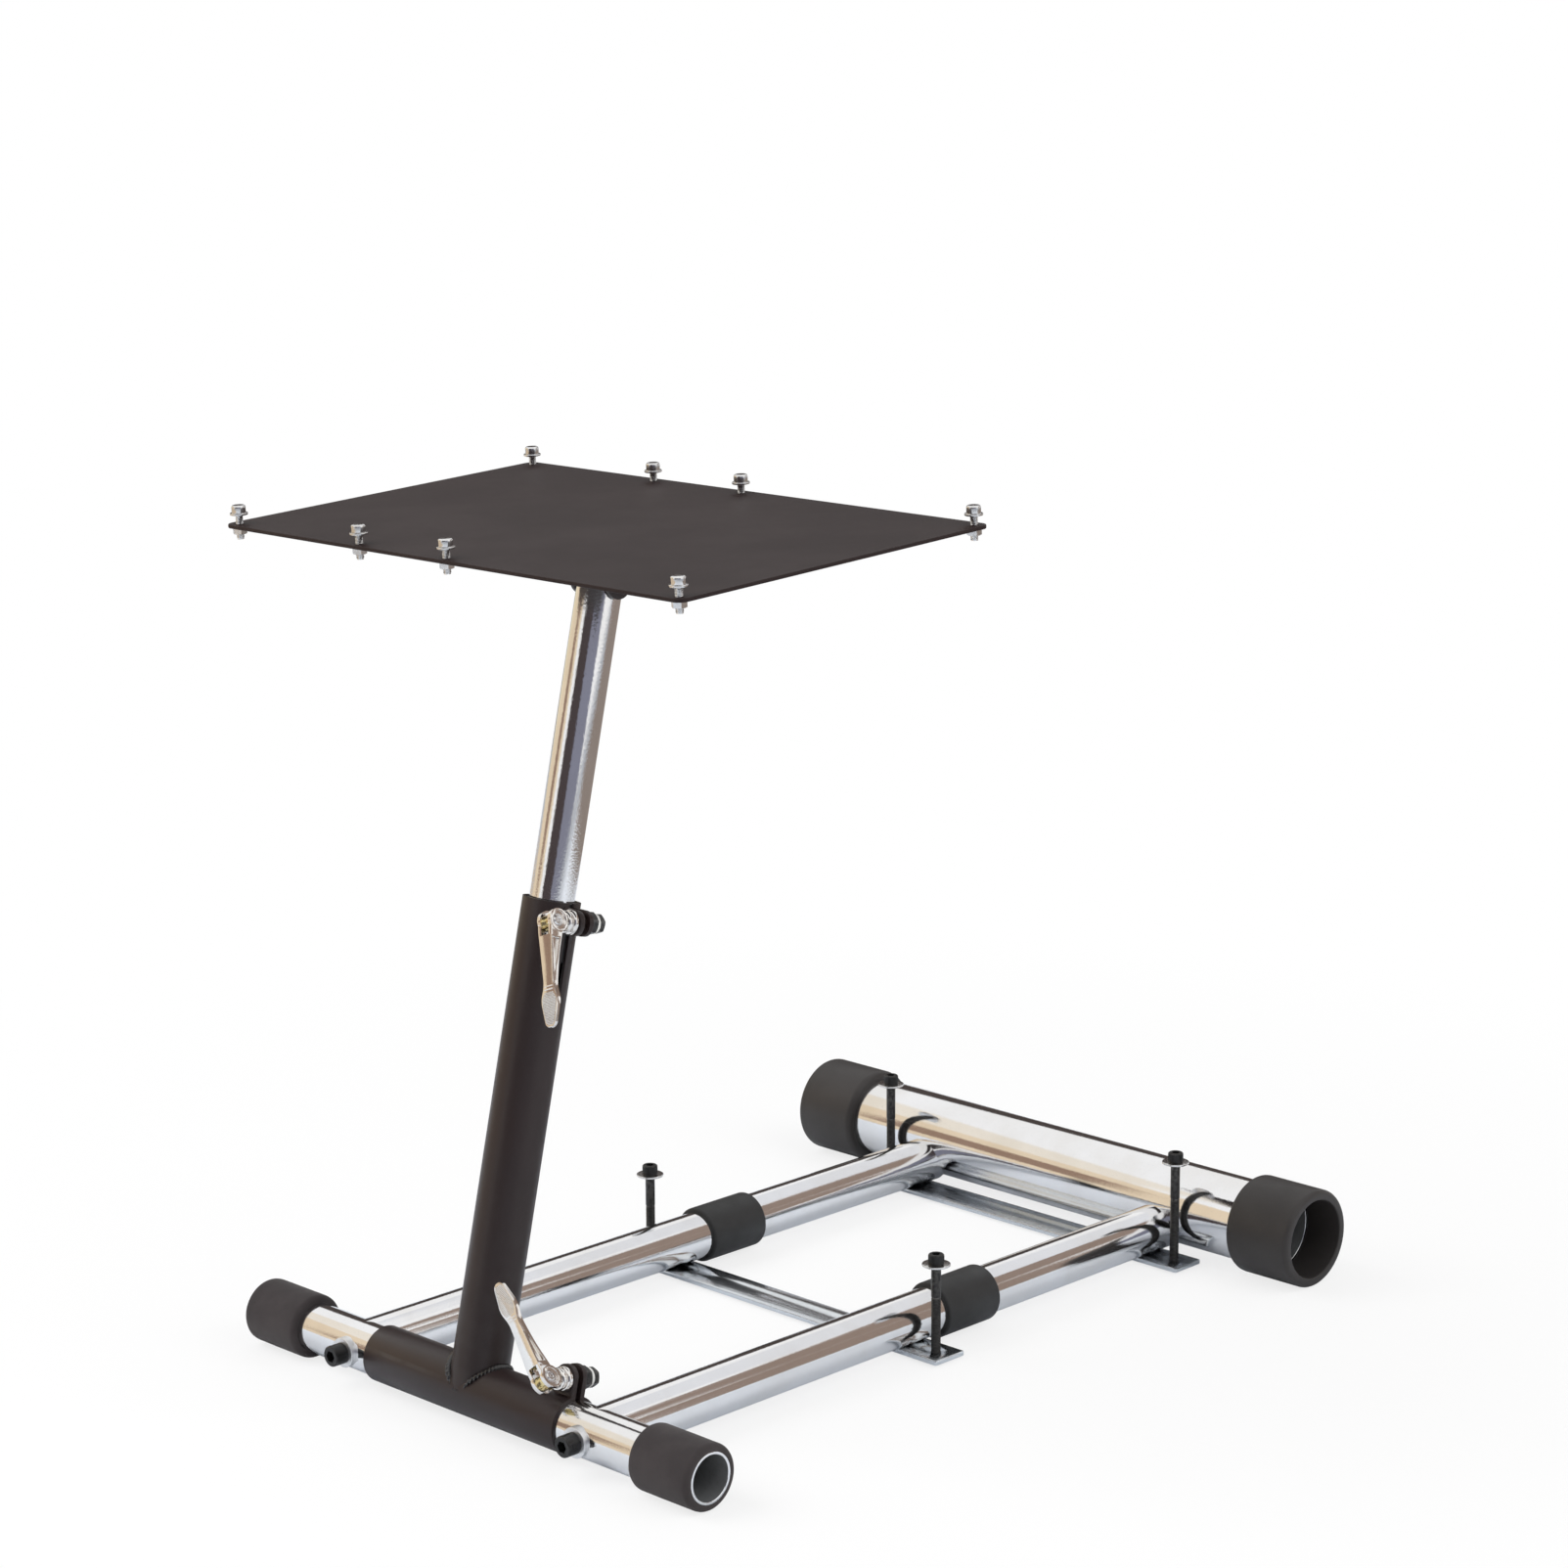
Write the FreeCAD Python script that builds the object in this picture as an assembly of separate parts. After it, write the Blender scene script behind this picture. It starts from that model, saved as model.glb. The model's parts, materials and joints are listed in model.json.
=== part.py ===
import FreeCAD, Part
import os
import math

V = FreeCAD.Vector

# fits and clearances
running_gap = 0.05
bolt_gap = 0.2
seat_gap = 0.5
cut_reach = 60.0

# front cross tube and its foam sleeves
front_length = 510.0
cross_radius = 20.0
cross_wall = 2.2
foam_radius = 26.0
foam_length = 62.0
foam_round = 4.0

# rear cross tube and its open feet
rear_radius = 35.0
rear_wall = 2.5
rear_foot_span = 564.0
foot_radius = 42.0
foot_length = 65.0
foot_grip = 30.0
foot_mouth_radius = 33.5
foot_round = 4.5
foot_neck_round = 6.0

# rails between the two cross tubes
rail_span = 685.0
rail_x = 134.0
rail_radius = 20.0
rail_wall = 2.0
rail_plug_length = 30.0
rail_cap_length = 16.0
rail_end_gap = 22.0
rail_sleeve_wall = 3.4
rail_sleeve_length = 62.0
rail_sleeve_gap = 8.0

# cap screws
screw_radius = 4.0
screw_head_radius = 6.5
screw_head_height = 8.0
screw_head_chamfer = 0.6
socket_radius_share = 0.52
socket_depth_share = 0.55
rail_screw_radius = 5.0
rail_head_radius = 8.0
rail_head_height = 12.0
rail_screw_engagement = 28.0
saddle_radius = 12.0
saddle_height = 3.0

# flat bars that pull down onto the rails, with their upright bolts
bar_width = 34.0
bar_thickness = 4.0
front_bar_start = 324.0
bar_bolt_edge = 15.5
bar_bolt_clear = 6.5
rear_bolt_gap = 3.0
bar_bolt_rises = (74.0, 88.0)
bar_washer_radius = 11.5
bar_washer_height = 1.6

# pivoting column
lean = 13.0
sleeve_radius = 22.5
sleeve_half = 109.0
column_radius = 22.5
column_bore = 20.0
column_top = 380.5
bushing_length = 46.0
weld_size = 3.4
slot_width = 5.0
slot_end_radius = 4.0
column_slot_bottom = 303.0
sleeve_slot_start = 60.0

# split clamps
lug_thickness = 4.0
lug_height = 20.0
lug_round = 9.0
column_clamp_x = 31.5
column_lug_drop = 3.0
sleeve_clamp_x = 99.0
sleeve_clamp_u = 33.5
lug_overhang = 11.0
clamp_bolt_radius = 3.0
clamp_bolt_end = 23.0
dome_height = 10.0
dome_radius = 9.8
dome_round = 3.0
nut_across = 16.0
nut_height = 8.0
nut_ring_height = 2.5
nut_ring_radius = 8.0
nut_cap_radius = 7.6
nut_cap_round = 2.5

# cam levers
barrel_radius = 5.0
barrel_half = 7.4
lobe_radius = 9.0
lobe_offset = 0.8
lobe_inner = 4.0
lobe_outer = 7.2
throat_floor = 1.5
lever_length = 82.0
shoulder_drop = 8.0
arm_start = 20.0
arm_half = 6.3
waist_drop = 50.0
waist_half = 4.6
paddle_start = 61.0
paddle_half = 8.8
tip_half = 4.5
tip_round = 4.0
root_inside = 4.6
root_outside = 7.2
waist_inside = 2.8
waist_outside = 3.8
tip_inside = 1.6
tip_outside = 1.8
lever_slant = 8.0
column_lever_turn = -21.5
sleeve_lever_turn = 138.7

# sliding post and tray
post_radius = 17.5
post_wall = 2.0
post_bottom = 235.0
tray_rise = 667.0
tray_rake = 3.0
tray_half_x = 252.5
tray_front = -170.0
tray_back = 150.0
tray_thickness = 3.0
tray_corner = 8.0
pivot_drop = 42.0
cheek_thickness = 4.0
cheek_round = 12.0
bracket_half_x = 42.0
bracket_front = -44.0
bracket_back = 30.0
bracket_thickness = 4.0
cheek_inset = 4.0
pivot_bolt_tail = 4.0
pivot_nut_across = 13.0
pivot_nut_height = 6.8

# upright bolts on the tray
tray_bolt_radius = 3.0
tray_bolt_rise = 19.0
tray_bolt_drop = 9.0
tray_bolt_head = 5.0
tray_bolt_head_height = 6.0
tray_washer_radius = 7.0
tray_washer_height = 1.6
tray_nut_across = 10.0
tray_nut_height = 5.0
tray_bolt_rows = (-162.0, 142.0)
tray_bolt_columns = (-243.0, -99.0, 0.0, 243.0)
tray_bolt_names = ("throttle_outer", "throttle_inner", "stick_inner", "stick_outer")

front_axis_z = foam_radius
rear_axis_z = foot_radius
sleeve_bore = cross_radius + running_gap
post_bore = post_radius + running_gap
along_x = V(1, 0, 0)
along_y = V(0, 1, 0)
along_z = V(0, 0, 1)
front_axis = V(0, 0, front_axis_z)
rear_bar_start = rail_span - rear_radius - rear_bolt_gap - screw_radius - bar_width / 2
bar_starts = (front_bar_start, rear_bar_start)
bar_bolt_half = rail_x + rail_radius + bar_bolt_clear + screw_radius
bar_half = bar_bolt_half + bar_bolt_edge
rail_sleeve_start = front_bar_start + bar_width + rail_sleeve_gap
rail_end = rail_span - rail_end_gap
column_clamp_u = column_top - lug_height / 2 - column_lug_drop
front_reach = cross_radius + saddle_height + rail_head_height
floor_centre = V(0, (rail_span + foot_radius - front_reach) / 2, 0)

os.makedirs("parts", exist_ok=True)


def save(name, shape):
    placed = shape.copy()
    placed.translate(floor_centre * -1)
    placed.exportStep("parts/" + name + ".step")


def rod(radius, start, direction, length):
    return Part.makeCylinder(radius, length, start, direction)


def pipe(outer, inner, start, direction, length):
    return rod(outer, start, direction, length).cut(rod(inner, start, direction, length))


def block(low, high):
    size = high - low
    return Part.makeBox(size.x, size.y, size.z, low)


def hexagon(across, start, direction, length):
    corner = across / math.sqrt(3.0)
    points = [V(corner * math.cos(k * math.pi / 3), corner * math.sin(k * math.pi / 3), 0) for k in range(7)]
    prism = Part.Face(Part.makePolygon(points)).extrude(V(0, 0, length))
    prism.Placement = FreeCAD.Placement(start, FreeCAD.Rotation(along_z, direction))
    return prism


def outline(points, thickness):
    return Part.Face(Part.makePolygon(points + [points[0]])).extrude(thickness)


def turned(shape, axis, degrees):
    copy = shape.copy()
    copy.rotate(V(0, 0, 0), axis, degrees)
    return copy


def moved(shape, offset):
    copy = shape.copy()
    copy.translate(offset)
    return copy


def on_frame(shape):
    return moved(shape, front_axis)


def on_column(shape):
    return moved(turned(shape, along_x, -lean), front_axis)


def on_tray(shape):
    seat = V(0, tray_rise * math.sin(math.radians(lean)), tray_rise * math.cos(math.radians(lean)))
    return moved(turned(shape, along_x, tray_rake), seat + front_axis)


def revolved(profile):
    return Part.Face(Part.makePolygon(profile + [profile[0]])).revolve(V(0, 0, 0), along_x, 360)


def cap_screw(seat, direction, shank, head_radius, head_height, radius):
    back = direction * -1
    body = rod(radius, seat, direction, shank)
    head = rod(head_radius, seat, back, head_height)
    rims = [e for e in head.Edges if e.Curve.TypeId == "Part::GeomCircle"]
    head = head.makeChamfer(screw_head_chamfer, rims[:1])
    socket_radius = head_radius * socket_radius_share
    socket_depth = head_height * socket_depth_share
    socket = rod(socket_radius, seat + back * head_height, direction, socket_depth)
    return body.fuse(head).cut(socket).removeSplitter()


# front cross tube, drilled for the rail screws
front_tube = pipe(cross_radius, cross_radius - cross_wall, V(-front_length / 2, 0, 0), along_x, front_length)
for side in (-1, 1):
    hole_start = V(side * rail_x, -cross_radius * 2, 0)
    hole = rod(rail_screw_radius + bolt_gap, hole_start, along_y, cross_radius * 4)
    front_tube = front_tube.cut(hole)
save("front_cross_tube", on_frame(front_tube))

# foam sleeves flush with both tube ends
foam = pipe(foam_radius, cross_radius, V(0, 0, 0), along_x, foam_length)
foam = foam.makeFillet(foam_round, [e for e in foam.Edges if abs(e.BoundBox.ZMax - foam_radius) < 0.01])
save("front_right_foam", moved(foam, V(front_length / 2 - foam_length, 0, front_axis_z)))
save("front_left_foam", moved(foam, V(-front_length / 2, 0, front_axis_z)))

# rear cross tube, higher and thicker than the front one
rear_half = rear_foot_span / 2 - foot_length + foot_grip
rear_place = V(0, rail_span, rear_axis_z)
rear_tube = pipe(rear_radius, rear_radius - rear_wall, V(-rear_half, 0, 0), along_x, rear_half * 2)
save("rear_cross_tube", moved(rear_tube, rear_place))

# feet pushed over the rear tube, with an open mouth
neck = rear_foot_span / 2 - foot_length
mouth = rear_foot_span / 2
foot = revolved([
    V(neck, rear_radius, 0),
    V(neck, foot_radius, 0),
    V(mouth, foot_radius, 0),
    V(mouth, foot_mouth_radius, 0),
    V(neck + foot_grip, foot_mouth_radius, 0),
    V(neck + foot_grip, rear_radius, 0),
])
outer_rims = [e for e in foot.Edges if e.BoundBox.XLength < 0.01 and e.BoundBox.ZMax > foot_radius - 0.01]
foot = foot.makeFillet(foot_round, [e for e in outer_rims if e.BoundBox.XMin > mouth - 0.01])
outer_rims = [e for e in foot.Edges if e.BoundBox.XLength < 0.01 and e.BoundBox.ZMax > foot_radius - 0.01]
foot = foot.makeFillet(foot_neck_round, [e for e in outer_rims if e.BoundBox.XMax < neck + 0.01])
save("rear_right_foot", moved(foot, rear_place))
save("rear_left_foot", moved(turned(foot, along_z, 180), rear_place))

# level rails coped to both tubes, each with a threaded plug in front and a closed rear end
front_cope = rod(cross_radius, V(-front_length / 2, 0, 0), along_x, front_length)
rear_cope = rod(
    rear_radius, V(-front_length / 2, rail_span, rear_axis_z - front_axis_z), along_x, front_length)
for side, name in ((-1, "left"), (1, "right")):
    start = V(side * rail_x, 0, 0)
    bore_radius = rail_radius - rail_wall
    rail = pipe(rail_radius, bore_radius, start, along_y, rail_end)
    front_plug = rod(bore_radius, start, along_y, cross_radius + rail_plug_length)
    rear_plug = rod(bore_radius, start + along_y * rail_end, along_y * -1, rail_cap_length)
    thread = rod(rail_screw_radius + bolt_gap, start, along_y, cross_radius + rail_plug_length)
    rail = rail.fuse([front_plug, rear_plug]).cut(front_cope).cut(rear_cope).cut(thread)
    save(name + "_rail", on_frame(rail.removeSplitter()))

# cap screws on saddle washers, in line with the rails
for side, name in ((-1, "left"), (1, "right")):
    seat = V(side * rail_x, -cross_radius - saddle_height, 0)
    saddle = rod(saddle_radius, seat, along_y, cross_radius).cut(front_cope)
    shank = cross_radius * 2 + saddle_height + rail_screw_engagement
    screw = cap_screw(seat, along_y, shank, rail_head_radius, rail_head_height, rail_screw_radius)
    save(name + "_rail_screw", on_frame(screw.fuse(saddle).removeSplitter()))

# rubber sleeves pushed onto the rails
for side, name in ((-1, "left"), (1, "right")):
    ring_start = V(side * rail_x, rail_sleeve_start, 0)
    ring = pipe(rail_radius + rail_sleeve_wall, rail_radius, ring_start, along_y, rail_sleeve_length)
    save(name + "_rail_sleeve", on_frame(ring))

# flat bars under the rails and their upright bolts
for begin, rise, end in zip(bar_starts, bar_bolt_rises, ("front", "rear")):
    low = V(-bar_half, begin, -rail_radius - bar_thickness)
    high = V(bar_half, begin + bar_width, -rail_radius)
    bar = block(low, high)
    for side, name in ((-1, "left"), (1, "right")):
        hole_start = V(side * bar_bolt_half, begin + bar_width / 2, -rail_radius - bar_thickness)
        bar = bar.cut(rod(screw_radius, hole_start, along_z, bar_thickness))
        seat = hole_start + along_z * (bar_thickness + rise)
        bolt = cap_screw(seat, along_z * -1, rise + bar_thickness,
                         screw_head_radius, screw_head_height, screw_radius)
        washer = rod(bar_washer_radius, seat - along_z * bar_washer_height, along_z, bar_washer_height)
        save(end + "_" + name + "_bar_bolt", on_frame(bolt.fuse(washer).removeSplitter()))
    save(end + "_bar", on_frame(bar))

# lugs of a split clamp, as two cheeks either side of the slot
def lugs(low_x, high_x, low_u, high_u, rounded):
    inner = slot_width / 2
    outer = inner + lug_thickness
    pair = []
    for side in (-1, 1):
        near = min(side * inner, side * outer)
        far = max(side * inner, side * outer)
        lug = block(V(low_x, near, low_u), V(high_x, far, high_u))
        lug = lug.makeFillet(lug_round, [e for e in lug.Edges if rounded(e)])
        pair.append(lug)
    return pair


# pivot sleeve around the front cross tube
sleeve = rod(sleeve_radius, V(-sleeve_half, 0, 0), along_x, sleeve_half * 2)
sleeve_lug_top = sleeve_clamp_u + lug_overhang
sleeve_lugs = lugs(
    sleeve_clamp_x - lug_height / 2, sleeve_clamp_x + lug_height / 2, cross_radius, sleeve_lug_top,
    lambda e: e.BoundBox.YLength > 1 and e.BoundBox.ZMin > sleeve_lug_top - 0.01)
sleeve = sleeve.fuse(sleeve_lugs)
sleeve = sleeve.cut(rod(sleeve_bore, V(-sleeve_half, 0, 0), along_x, sleeve_half * 2))
sleeve_slot = block(
    V(sleeve_slot_start, -slot_width / 2, 0), V(sleeve_half, slot_width / 2, sleeve_lug_top))
sleeve = sleeve.cut(sleeve_slot)
sleeve = sleeve.cut(rod(slot_end_radius, V(sleeve_slot_start, 0, 0), along_z, sleeve_lug_top))
sleeve_bolt_line = V(sleeve_clamp_x, 0, sleeve_clamp_u)
sleeve_bolt_hole = rod(
    clamp_bolt_radius + bolt_gap, sleeve_bolt_line - along_y * cut_reach, along_y, cut_reach * 2)
sleeve = sleeve.cut(sleeve_bolt_hole)
save("pivot_sleeve", on_column(sleeve.removeSplitter()))

# upright column tube, coped and welded to the sleeve, split at its top
column = rod(column_radius, V(0, 0, 0), along_z, column_top)
bead = rod(column_radius + weld_size, V(0, 0, 0), along_z, column_top)
bead = bead.common(rod(sleeve_radius + weld_size, V(-sleeve_half, 0, 0), along_x, sleeve_half * 2))
column_lug_end = column_clamp_x + lug_overhang
column_lugs = lugs(
    column_bore, column_lug_end, column_clamp_u - lug_height / 2, column_clamp_u + lug_height / 2,
    lambda e: e.BoundBox.YLength > 1 and e.BoundBox.XMin > column_lug_end - 0.01)
column = column.fuse([bead] + column_lugs)
column = column.cut(rod(sleeve_radius, V(-sleeve_half, 0, 0), along_x, sleeve_half * 2))
column = column.cut(block(V(-cut_reach, -cut_reach, -cut_reach), V(cut_reach, cut_reach, 0)))
column = column.cut(rod(column_bore, V(0, 0, 0), along_z, column_top))
column_slot = block(
    V(0, -slot_width / 2, column_slot_bottom), V(column_lug_end, slot_width / 2, column_top))
column = column.cut(column_slot)
column = column.cut(rod(slot_end_radius, V(0, 0, column_slot_bottom), along_x, column_lug_end))
column_bolt_line = V(column_clamp_x, 0, column_clamp_u)
column_bolt_hole = rod(
    clamp_bolt_radius + bolt_gap, column_bolt_line - along_y * cut_reach, along_y, cut_reach * 2)
column = column.cut(column_bolt_hole)
save("column_tube", on_column(column.removeSplitter()))

# guide bushing between column and post
bushing = pipe(column_bore, post_bore, V(0, 0, column_top - bushing_length), along_z, bushing_length)
save("column_bushing", on_column(bushing))

# clamp hardware, the same on sleeve and column
lug_face = slot_width / 2 + lug_thickness
barrel_y = -(lug_face + dome_height + lobe_radius + lobe_offset + seat_gap)
lever_bore = barrel_radius + running_gap

barrel = rod(barrel_radius, V(-barrel_half, barrel_y, 0), along_x, barrel_half * 2)
clamp_bolt = rod(clamp_bolt_radius, V(0, barrel_y, 0), along_y, clamp_bolt_end - barrel_y).fuse(barrel)
nut = hexagon(nut_across, V(0, lug_face, 0), along_y, nut_height)
ring_y = lug_face + nut_height
nut = nut.fuse(rod(nut_ring_radius, V(0, ring_y, 0), along_y, nut_ring_height))
cap_y = ring_y + nut_ring_height
cap = rod(nut_cap_radius, V(0, cap_y, 0), along_y, clamp_bolt_end - cap_y)
cap = cap.makeFillet(nut_cap_round, [e for e in cap.Edges if e.BoundBox.YMin > clamp_bolt_end - 0.01])
nut = nut.fuse(cap)
clamp_bolt = clamp_bolt.fuse(nut).removeSplitter()
dome = rod(dome_radius, V(0, -lug_face - dome_height, 0), along_y, dome_height)
dome_rim = [e for e in dome.Edges if e.BoundBox.YMax < -lug_face - dome_height + 0.01]
dome = dome.makeFillet(dome_round, dome_rim)
dome = dome.cut(rod(clamp_bolt_radius + bolt_gap, V(0, -cut_reach, 0), along_y, cut_reach * 2))

# cam lever: a forging drawn from the front and from the side, hanging along minus z
front_half = [
    (lobe_outer, 0.0),
    (lobe_outer, -shoulder_drop),
    (arm_half, -arm_start),
    (waist_half, -waist_drop),
    (paddle_half, -paddle_start),
    (tip_half, -lever_length),
]
front_points = [V(x, -cut_reach, z) for x, z in front_half]
front_points += [V(-x, -cut_reach, z) for x, z in reversed(front_half)]
front_view = outline(front_points, along_y * (cut_reach * 2))
tip_edges = [e for e in front_view.Edges if e.BoundBox.ZMax < -lever_length + 0.01 and e.BoundBox.YLength > 1]
front_view = front_view.makeFillet(tip_round, tip_edges)
side_view = outline([
    V(-lobe_outer, root_inside, 0),
    V(-lobe_outer, root_inside, -shoulder_drop),
    V(-lobe_outer, waist_inside, -waist_drop),
    V(-lobe_outer, tip_inside, -lever_length),
    V(-lobe_outer, -tip_outside, -lever_length),
    V(-lobe_outer, -waist_outside, -waist_drop),
    V(-lobe_outer, -root_outside, -shoulder_drop),
    V(-lobe_outer, -root_outside, 0),
], along_x * (lobe_outer * 2))
handle = turned(front_view.common(side_view), along_x, -lever_slant)
lobes = rod(lobe_radius, V(-lobe_outer, lobe_offset, 0), along_x, lobe_outer * 2)
throat = block(
    V(-lobe_inner, -cut_reach, -lobe_radius - throat_floor), V(lobe_inner, cut_reach, cut_reach))
lever = handle.fuse(lobes).cut(throat)
lever = lever.cut(rod(lever_bore, V(-cut_reach, 0, 0), along_x, cut_reach * 2)).removeSplitter()
lever = moved(lever, along_y * barrel_y)

for name, turn, place in (
        ("column", column_lever_turn, column_bolt_line),
        ("sleeve", sleeve_lever_turn, sleeve_bolt_line)):
    for piece, shape in (("clamp_bolt", clamp_bolt), ("clamp_dome", dome), ("clamp_lever", lever)):
        save(name + "_" + piece, on_column(moved(turned(shape, along_y, turn), place)))

# sliding post
pivot_u = tray_rise - pivot_drop
pivot_hole = rod(screw_radius + bolt_gap, V(-cut_reach, 0, pivot_u), along_x, cut_reach * 2)
post_length = pivot_u + cheek_round - post_bottom
post = pipe(post_radius, post_radius - post_wall, V(0, 0, post_bottom), along_z, post_length)
save("sliding_post", on_column(post.cut(pivot_hole)))

# bracket under the tray, with a cheek on each side of the post
tip = math.radians(lean + tray_rake)
pivot_y = -pivot_drop * math.sin(tip)
pivot_z = -pivot_drop * math.cos(tip)
bracket = block(V(-bracket_half_x, bracket_front, -bracket_thickness), V(bracket_half_x, bracket_back, 0))
for side in (-1, 1):
    face_x = min(side * post_radius, side * (post_radius + cheek_thickness))
    cheek = outline([
        V(face_x, bracket_front + cheek_inset, -bracket_thickness),
        V(face_x, bracket_back - cheek_inset, -bracket_thickness),
        V(face_x, pivot_y + cheek_round, pivot_z),
        V(face_x, pivot_y - cheek_round, pivot_z),
    ], along_x * cheek_thickness)
    tip_disc = rod(cheek_round, V(face_x, pivot_y, pivot_z), along_x, cheek_thickness)
    bracket = bracket.fuse([cheek, tip_disc])
bracket_hole = rod(screw_radius + bolt_gap, V(-cut_reach, pivot_y, pivot_z), along_x, cut_reach * 2)
save("tray_bracket", on_tray(bracket.cut(bracket_hole).removeSplitter()))

# through bolt of the bracket
cheek_face = post_radius + cheek_thickness
pivot_shank = cheek_face * 2 + pivot_nut_height + pivot_bolt_tail
pivot_bolt = cap_screw(V(cheek_face, pivot_y, pivot_z), along_x * -1, pivot_shank,
                       screw_head_radius, screw_head_height, screw_radius)
pivot_nut = hexagon(pivot_nut_across, V(-cheek_face, pivot_y, pivot_z), along_x * -1, pivot_nut_height)
save("tray_bracket_bolt", on_tray(pivot_bolt.fuse(pivot_nut).removeSplitter()))

# tray plate with drilled edges
tray = block(V(-tray_half_x, tray_front, 0), V(tray_half_x, tray_back, tray_thickness))
tray = tray.makeFillet(tray_corner, [e for e in tray.Edges if e.BoundBox.ZLength > 1])
for x in tray_bolt_columns:
    for y in tray_bolt_rows:
        tray = tray.cut(rod(tray_bolt_radius + bolt_gap, V(x, y, 0), along_z, tray_thickness))
save("tray_plate", on_tray(tray))

# upright bolts of the tray, with a washer under the head and a nut below the plate
for x, column_name in zip(tray_bolt_columns, tray_bolt_names):
    for y, row_name in zip(tray_bolt_rows, ("front", "rear")):
        stud = rod(tray_bolt_radius, V(x, y, -tray_bolt_drop), along_z, tray_bolt_drop + tray_bolt_rise)
        head = rod(tray_bolt_head, V(x, y, tray_bolt_rise), along_z, tray_bolt_head_height)
        under = hexagon(tray_nut_across, V(x, y, -tray_nut_height), along_z, tray_nut_height)
        washer_start = V(x, y, tray_bolt_rise - tray_washer_height)
        washer = rod(tray_washer_radius, washer_start, along_z, tray_washer_height)
        bolt = stud.fuse([head, under, washer]).removeSplitter()
        save(column_name + "_" + row_name + "_bolt", on_tray(bolt))
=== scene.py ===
import bpy
import bmesh
import json
import math
from mathutils import Matrix, Vector, noise


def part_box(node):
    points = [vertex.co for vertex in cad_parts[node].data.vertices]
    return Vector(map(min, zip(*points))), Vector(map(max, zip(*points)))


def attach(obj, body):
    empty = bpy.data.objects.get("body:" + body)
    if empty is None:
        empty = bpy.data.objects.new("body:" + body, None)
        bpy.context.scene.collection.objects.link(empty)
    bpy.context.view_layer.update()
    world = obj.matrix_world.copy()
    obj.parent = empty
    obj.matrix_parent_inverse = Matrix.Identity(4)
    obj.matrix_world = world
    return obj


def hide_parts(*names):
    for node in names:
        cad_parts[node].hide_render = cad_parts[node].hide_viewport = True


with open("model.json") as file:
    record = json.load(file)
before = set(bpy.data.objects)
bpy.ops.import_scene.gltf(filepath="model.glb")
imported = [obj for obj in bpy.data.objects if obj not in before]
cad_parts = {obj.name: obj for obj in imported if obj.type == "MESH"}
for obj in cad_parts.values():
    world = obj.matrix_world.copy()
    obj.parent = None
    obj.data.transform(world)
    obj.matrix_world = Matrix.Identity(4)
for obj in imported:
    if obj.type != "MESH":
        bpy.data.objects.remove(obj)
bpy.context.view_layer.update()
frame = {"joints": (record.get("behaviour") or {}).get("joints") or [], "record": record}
scene = bpy.context.scene
millimetre = 0.001
print("frame loaded")


# where things are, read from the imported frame

def middle(node):
    low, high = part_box(node)
    return (low + high) / 2


def shift(x=0.0, y=0.0, z=0.0):
    return Matrix.Translation((x, y, z))


def at(x=0.0, y=0.0, z=0.0):  # a place given in millimetres
    return Matrix.Translation(Vector((x, y, z)) * millimetre)


def turned(degrees, axis):
    return Matrix.Rotation(math.radians(degrees), 4, axis)


joints = {joint["name"]: joint for joint in frame["joints"]}
slideLine = Vector(joints["post_slide"]["axis"])
trayNormal = Vector(frame["record"]["mounts"][0]["axis"])
lean = math.atan2(slideLine.y, slideLine.z)  # of the column, towards the rear
rake = math.atan2(-trayNormal.y, trayNormal.z)  # of the tray, rising to its rear edge
frontPlace = Matrix.Translation(middle("front_cross_tube"))
rearPlace = Matrix.Translation(middle("rear_cross_tube"))
columnPlace = frontPlace @ Matrix.Rotation(-lean, 4, "X")
toY = turned(90, "Z")  # turns a piece lathed along x to lie along y
toZ = turned(-90, "Y")  # the same, to stand along z
flip = turned(180, "Z")
asDrawn = Matrix.Identity(4)


# mesh helpers, all in millimetres until a piece is finished

mergeGap = 0.002  # vertices this close become one
planeGap = 0.001  # and this close to a cutting plane lie in it
snug = 0.05  # keeps a cut from lying in the face beside it
past = 5.0  # how far a cutter runs past what it cuts
cutReach = 200.0  # half the length of a drilling rod
flatAngle = 0.5  # degrees under which faces are one after a cut


def tidyMesh(mesh):
    bmesh.ops.remove_doubles(mesh, verts=mesh.verts, dist=mergeGap)
    bmesh.ops.recalc_face_normals(mesh, faces=mesh.faces)
    return mesh


def roundCorner(mesh, corner, size, segments=5):
    bmesh.ops.bevel(mesh, geom=[corner], offset=size, offset_type="OFFSET", segments=segments,
                    profile=0.5, affect="VERTICES", material=-1, clamp_overlap=False)


def lathe(profile, steps=96, closed=True):  # points are (along x, radius) or with a round as third
    mesh = bmesh.new()
    corners = [mesh.verts.new((p[0], 0.0, p[1])) for p in profile]
    for first, second in zip(corners, corners[1:]):
        mesh.edges.new((first, second))
    if closed:
        mesh.edges.new((corners[-1], corners[0]))
    for corner, p in zip(corners, profile):
        if len(p) > 2 and p[2]:
            roundCorner(mesh, corner, p[2])
    bmesh.ops.spin(mesh, geom=mesh.verts[:] + mesh.edges[:], cent=(0, 0, 0), axis=(1, 0, 0),
                   angle=2 * math.pi, steps=steps, use_merge=True)
    return tidyMesh(mesh)


def newVerts(grown):
    return [g for g in grown["geom"] if isinstance(g, bmesh.types.BMVert)]


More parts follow.
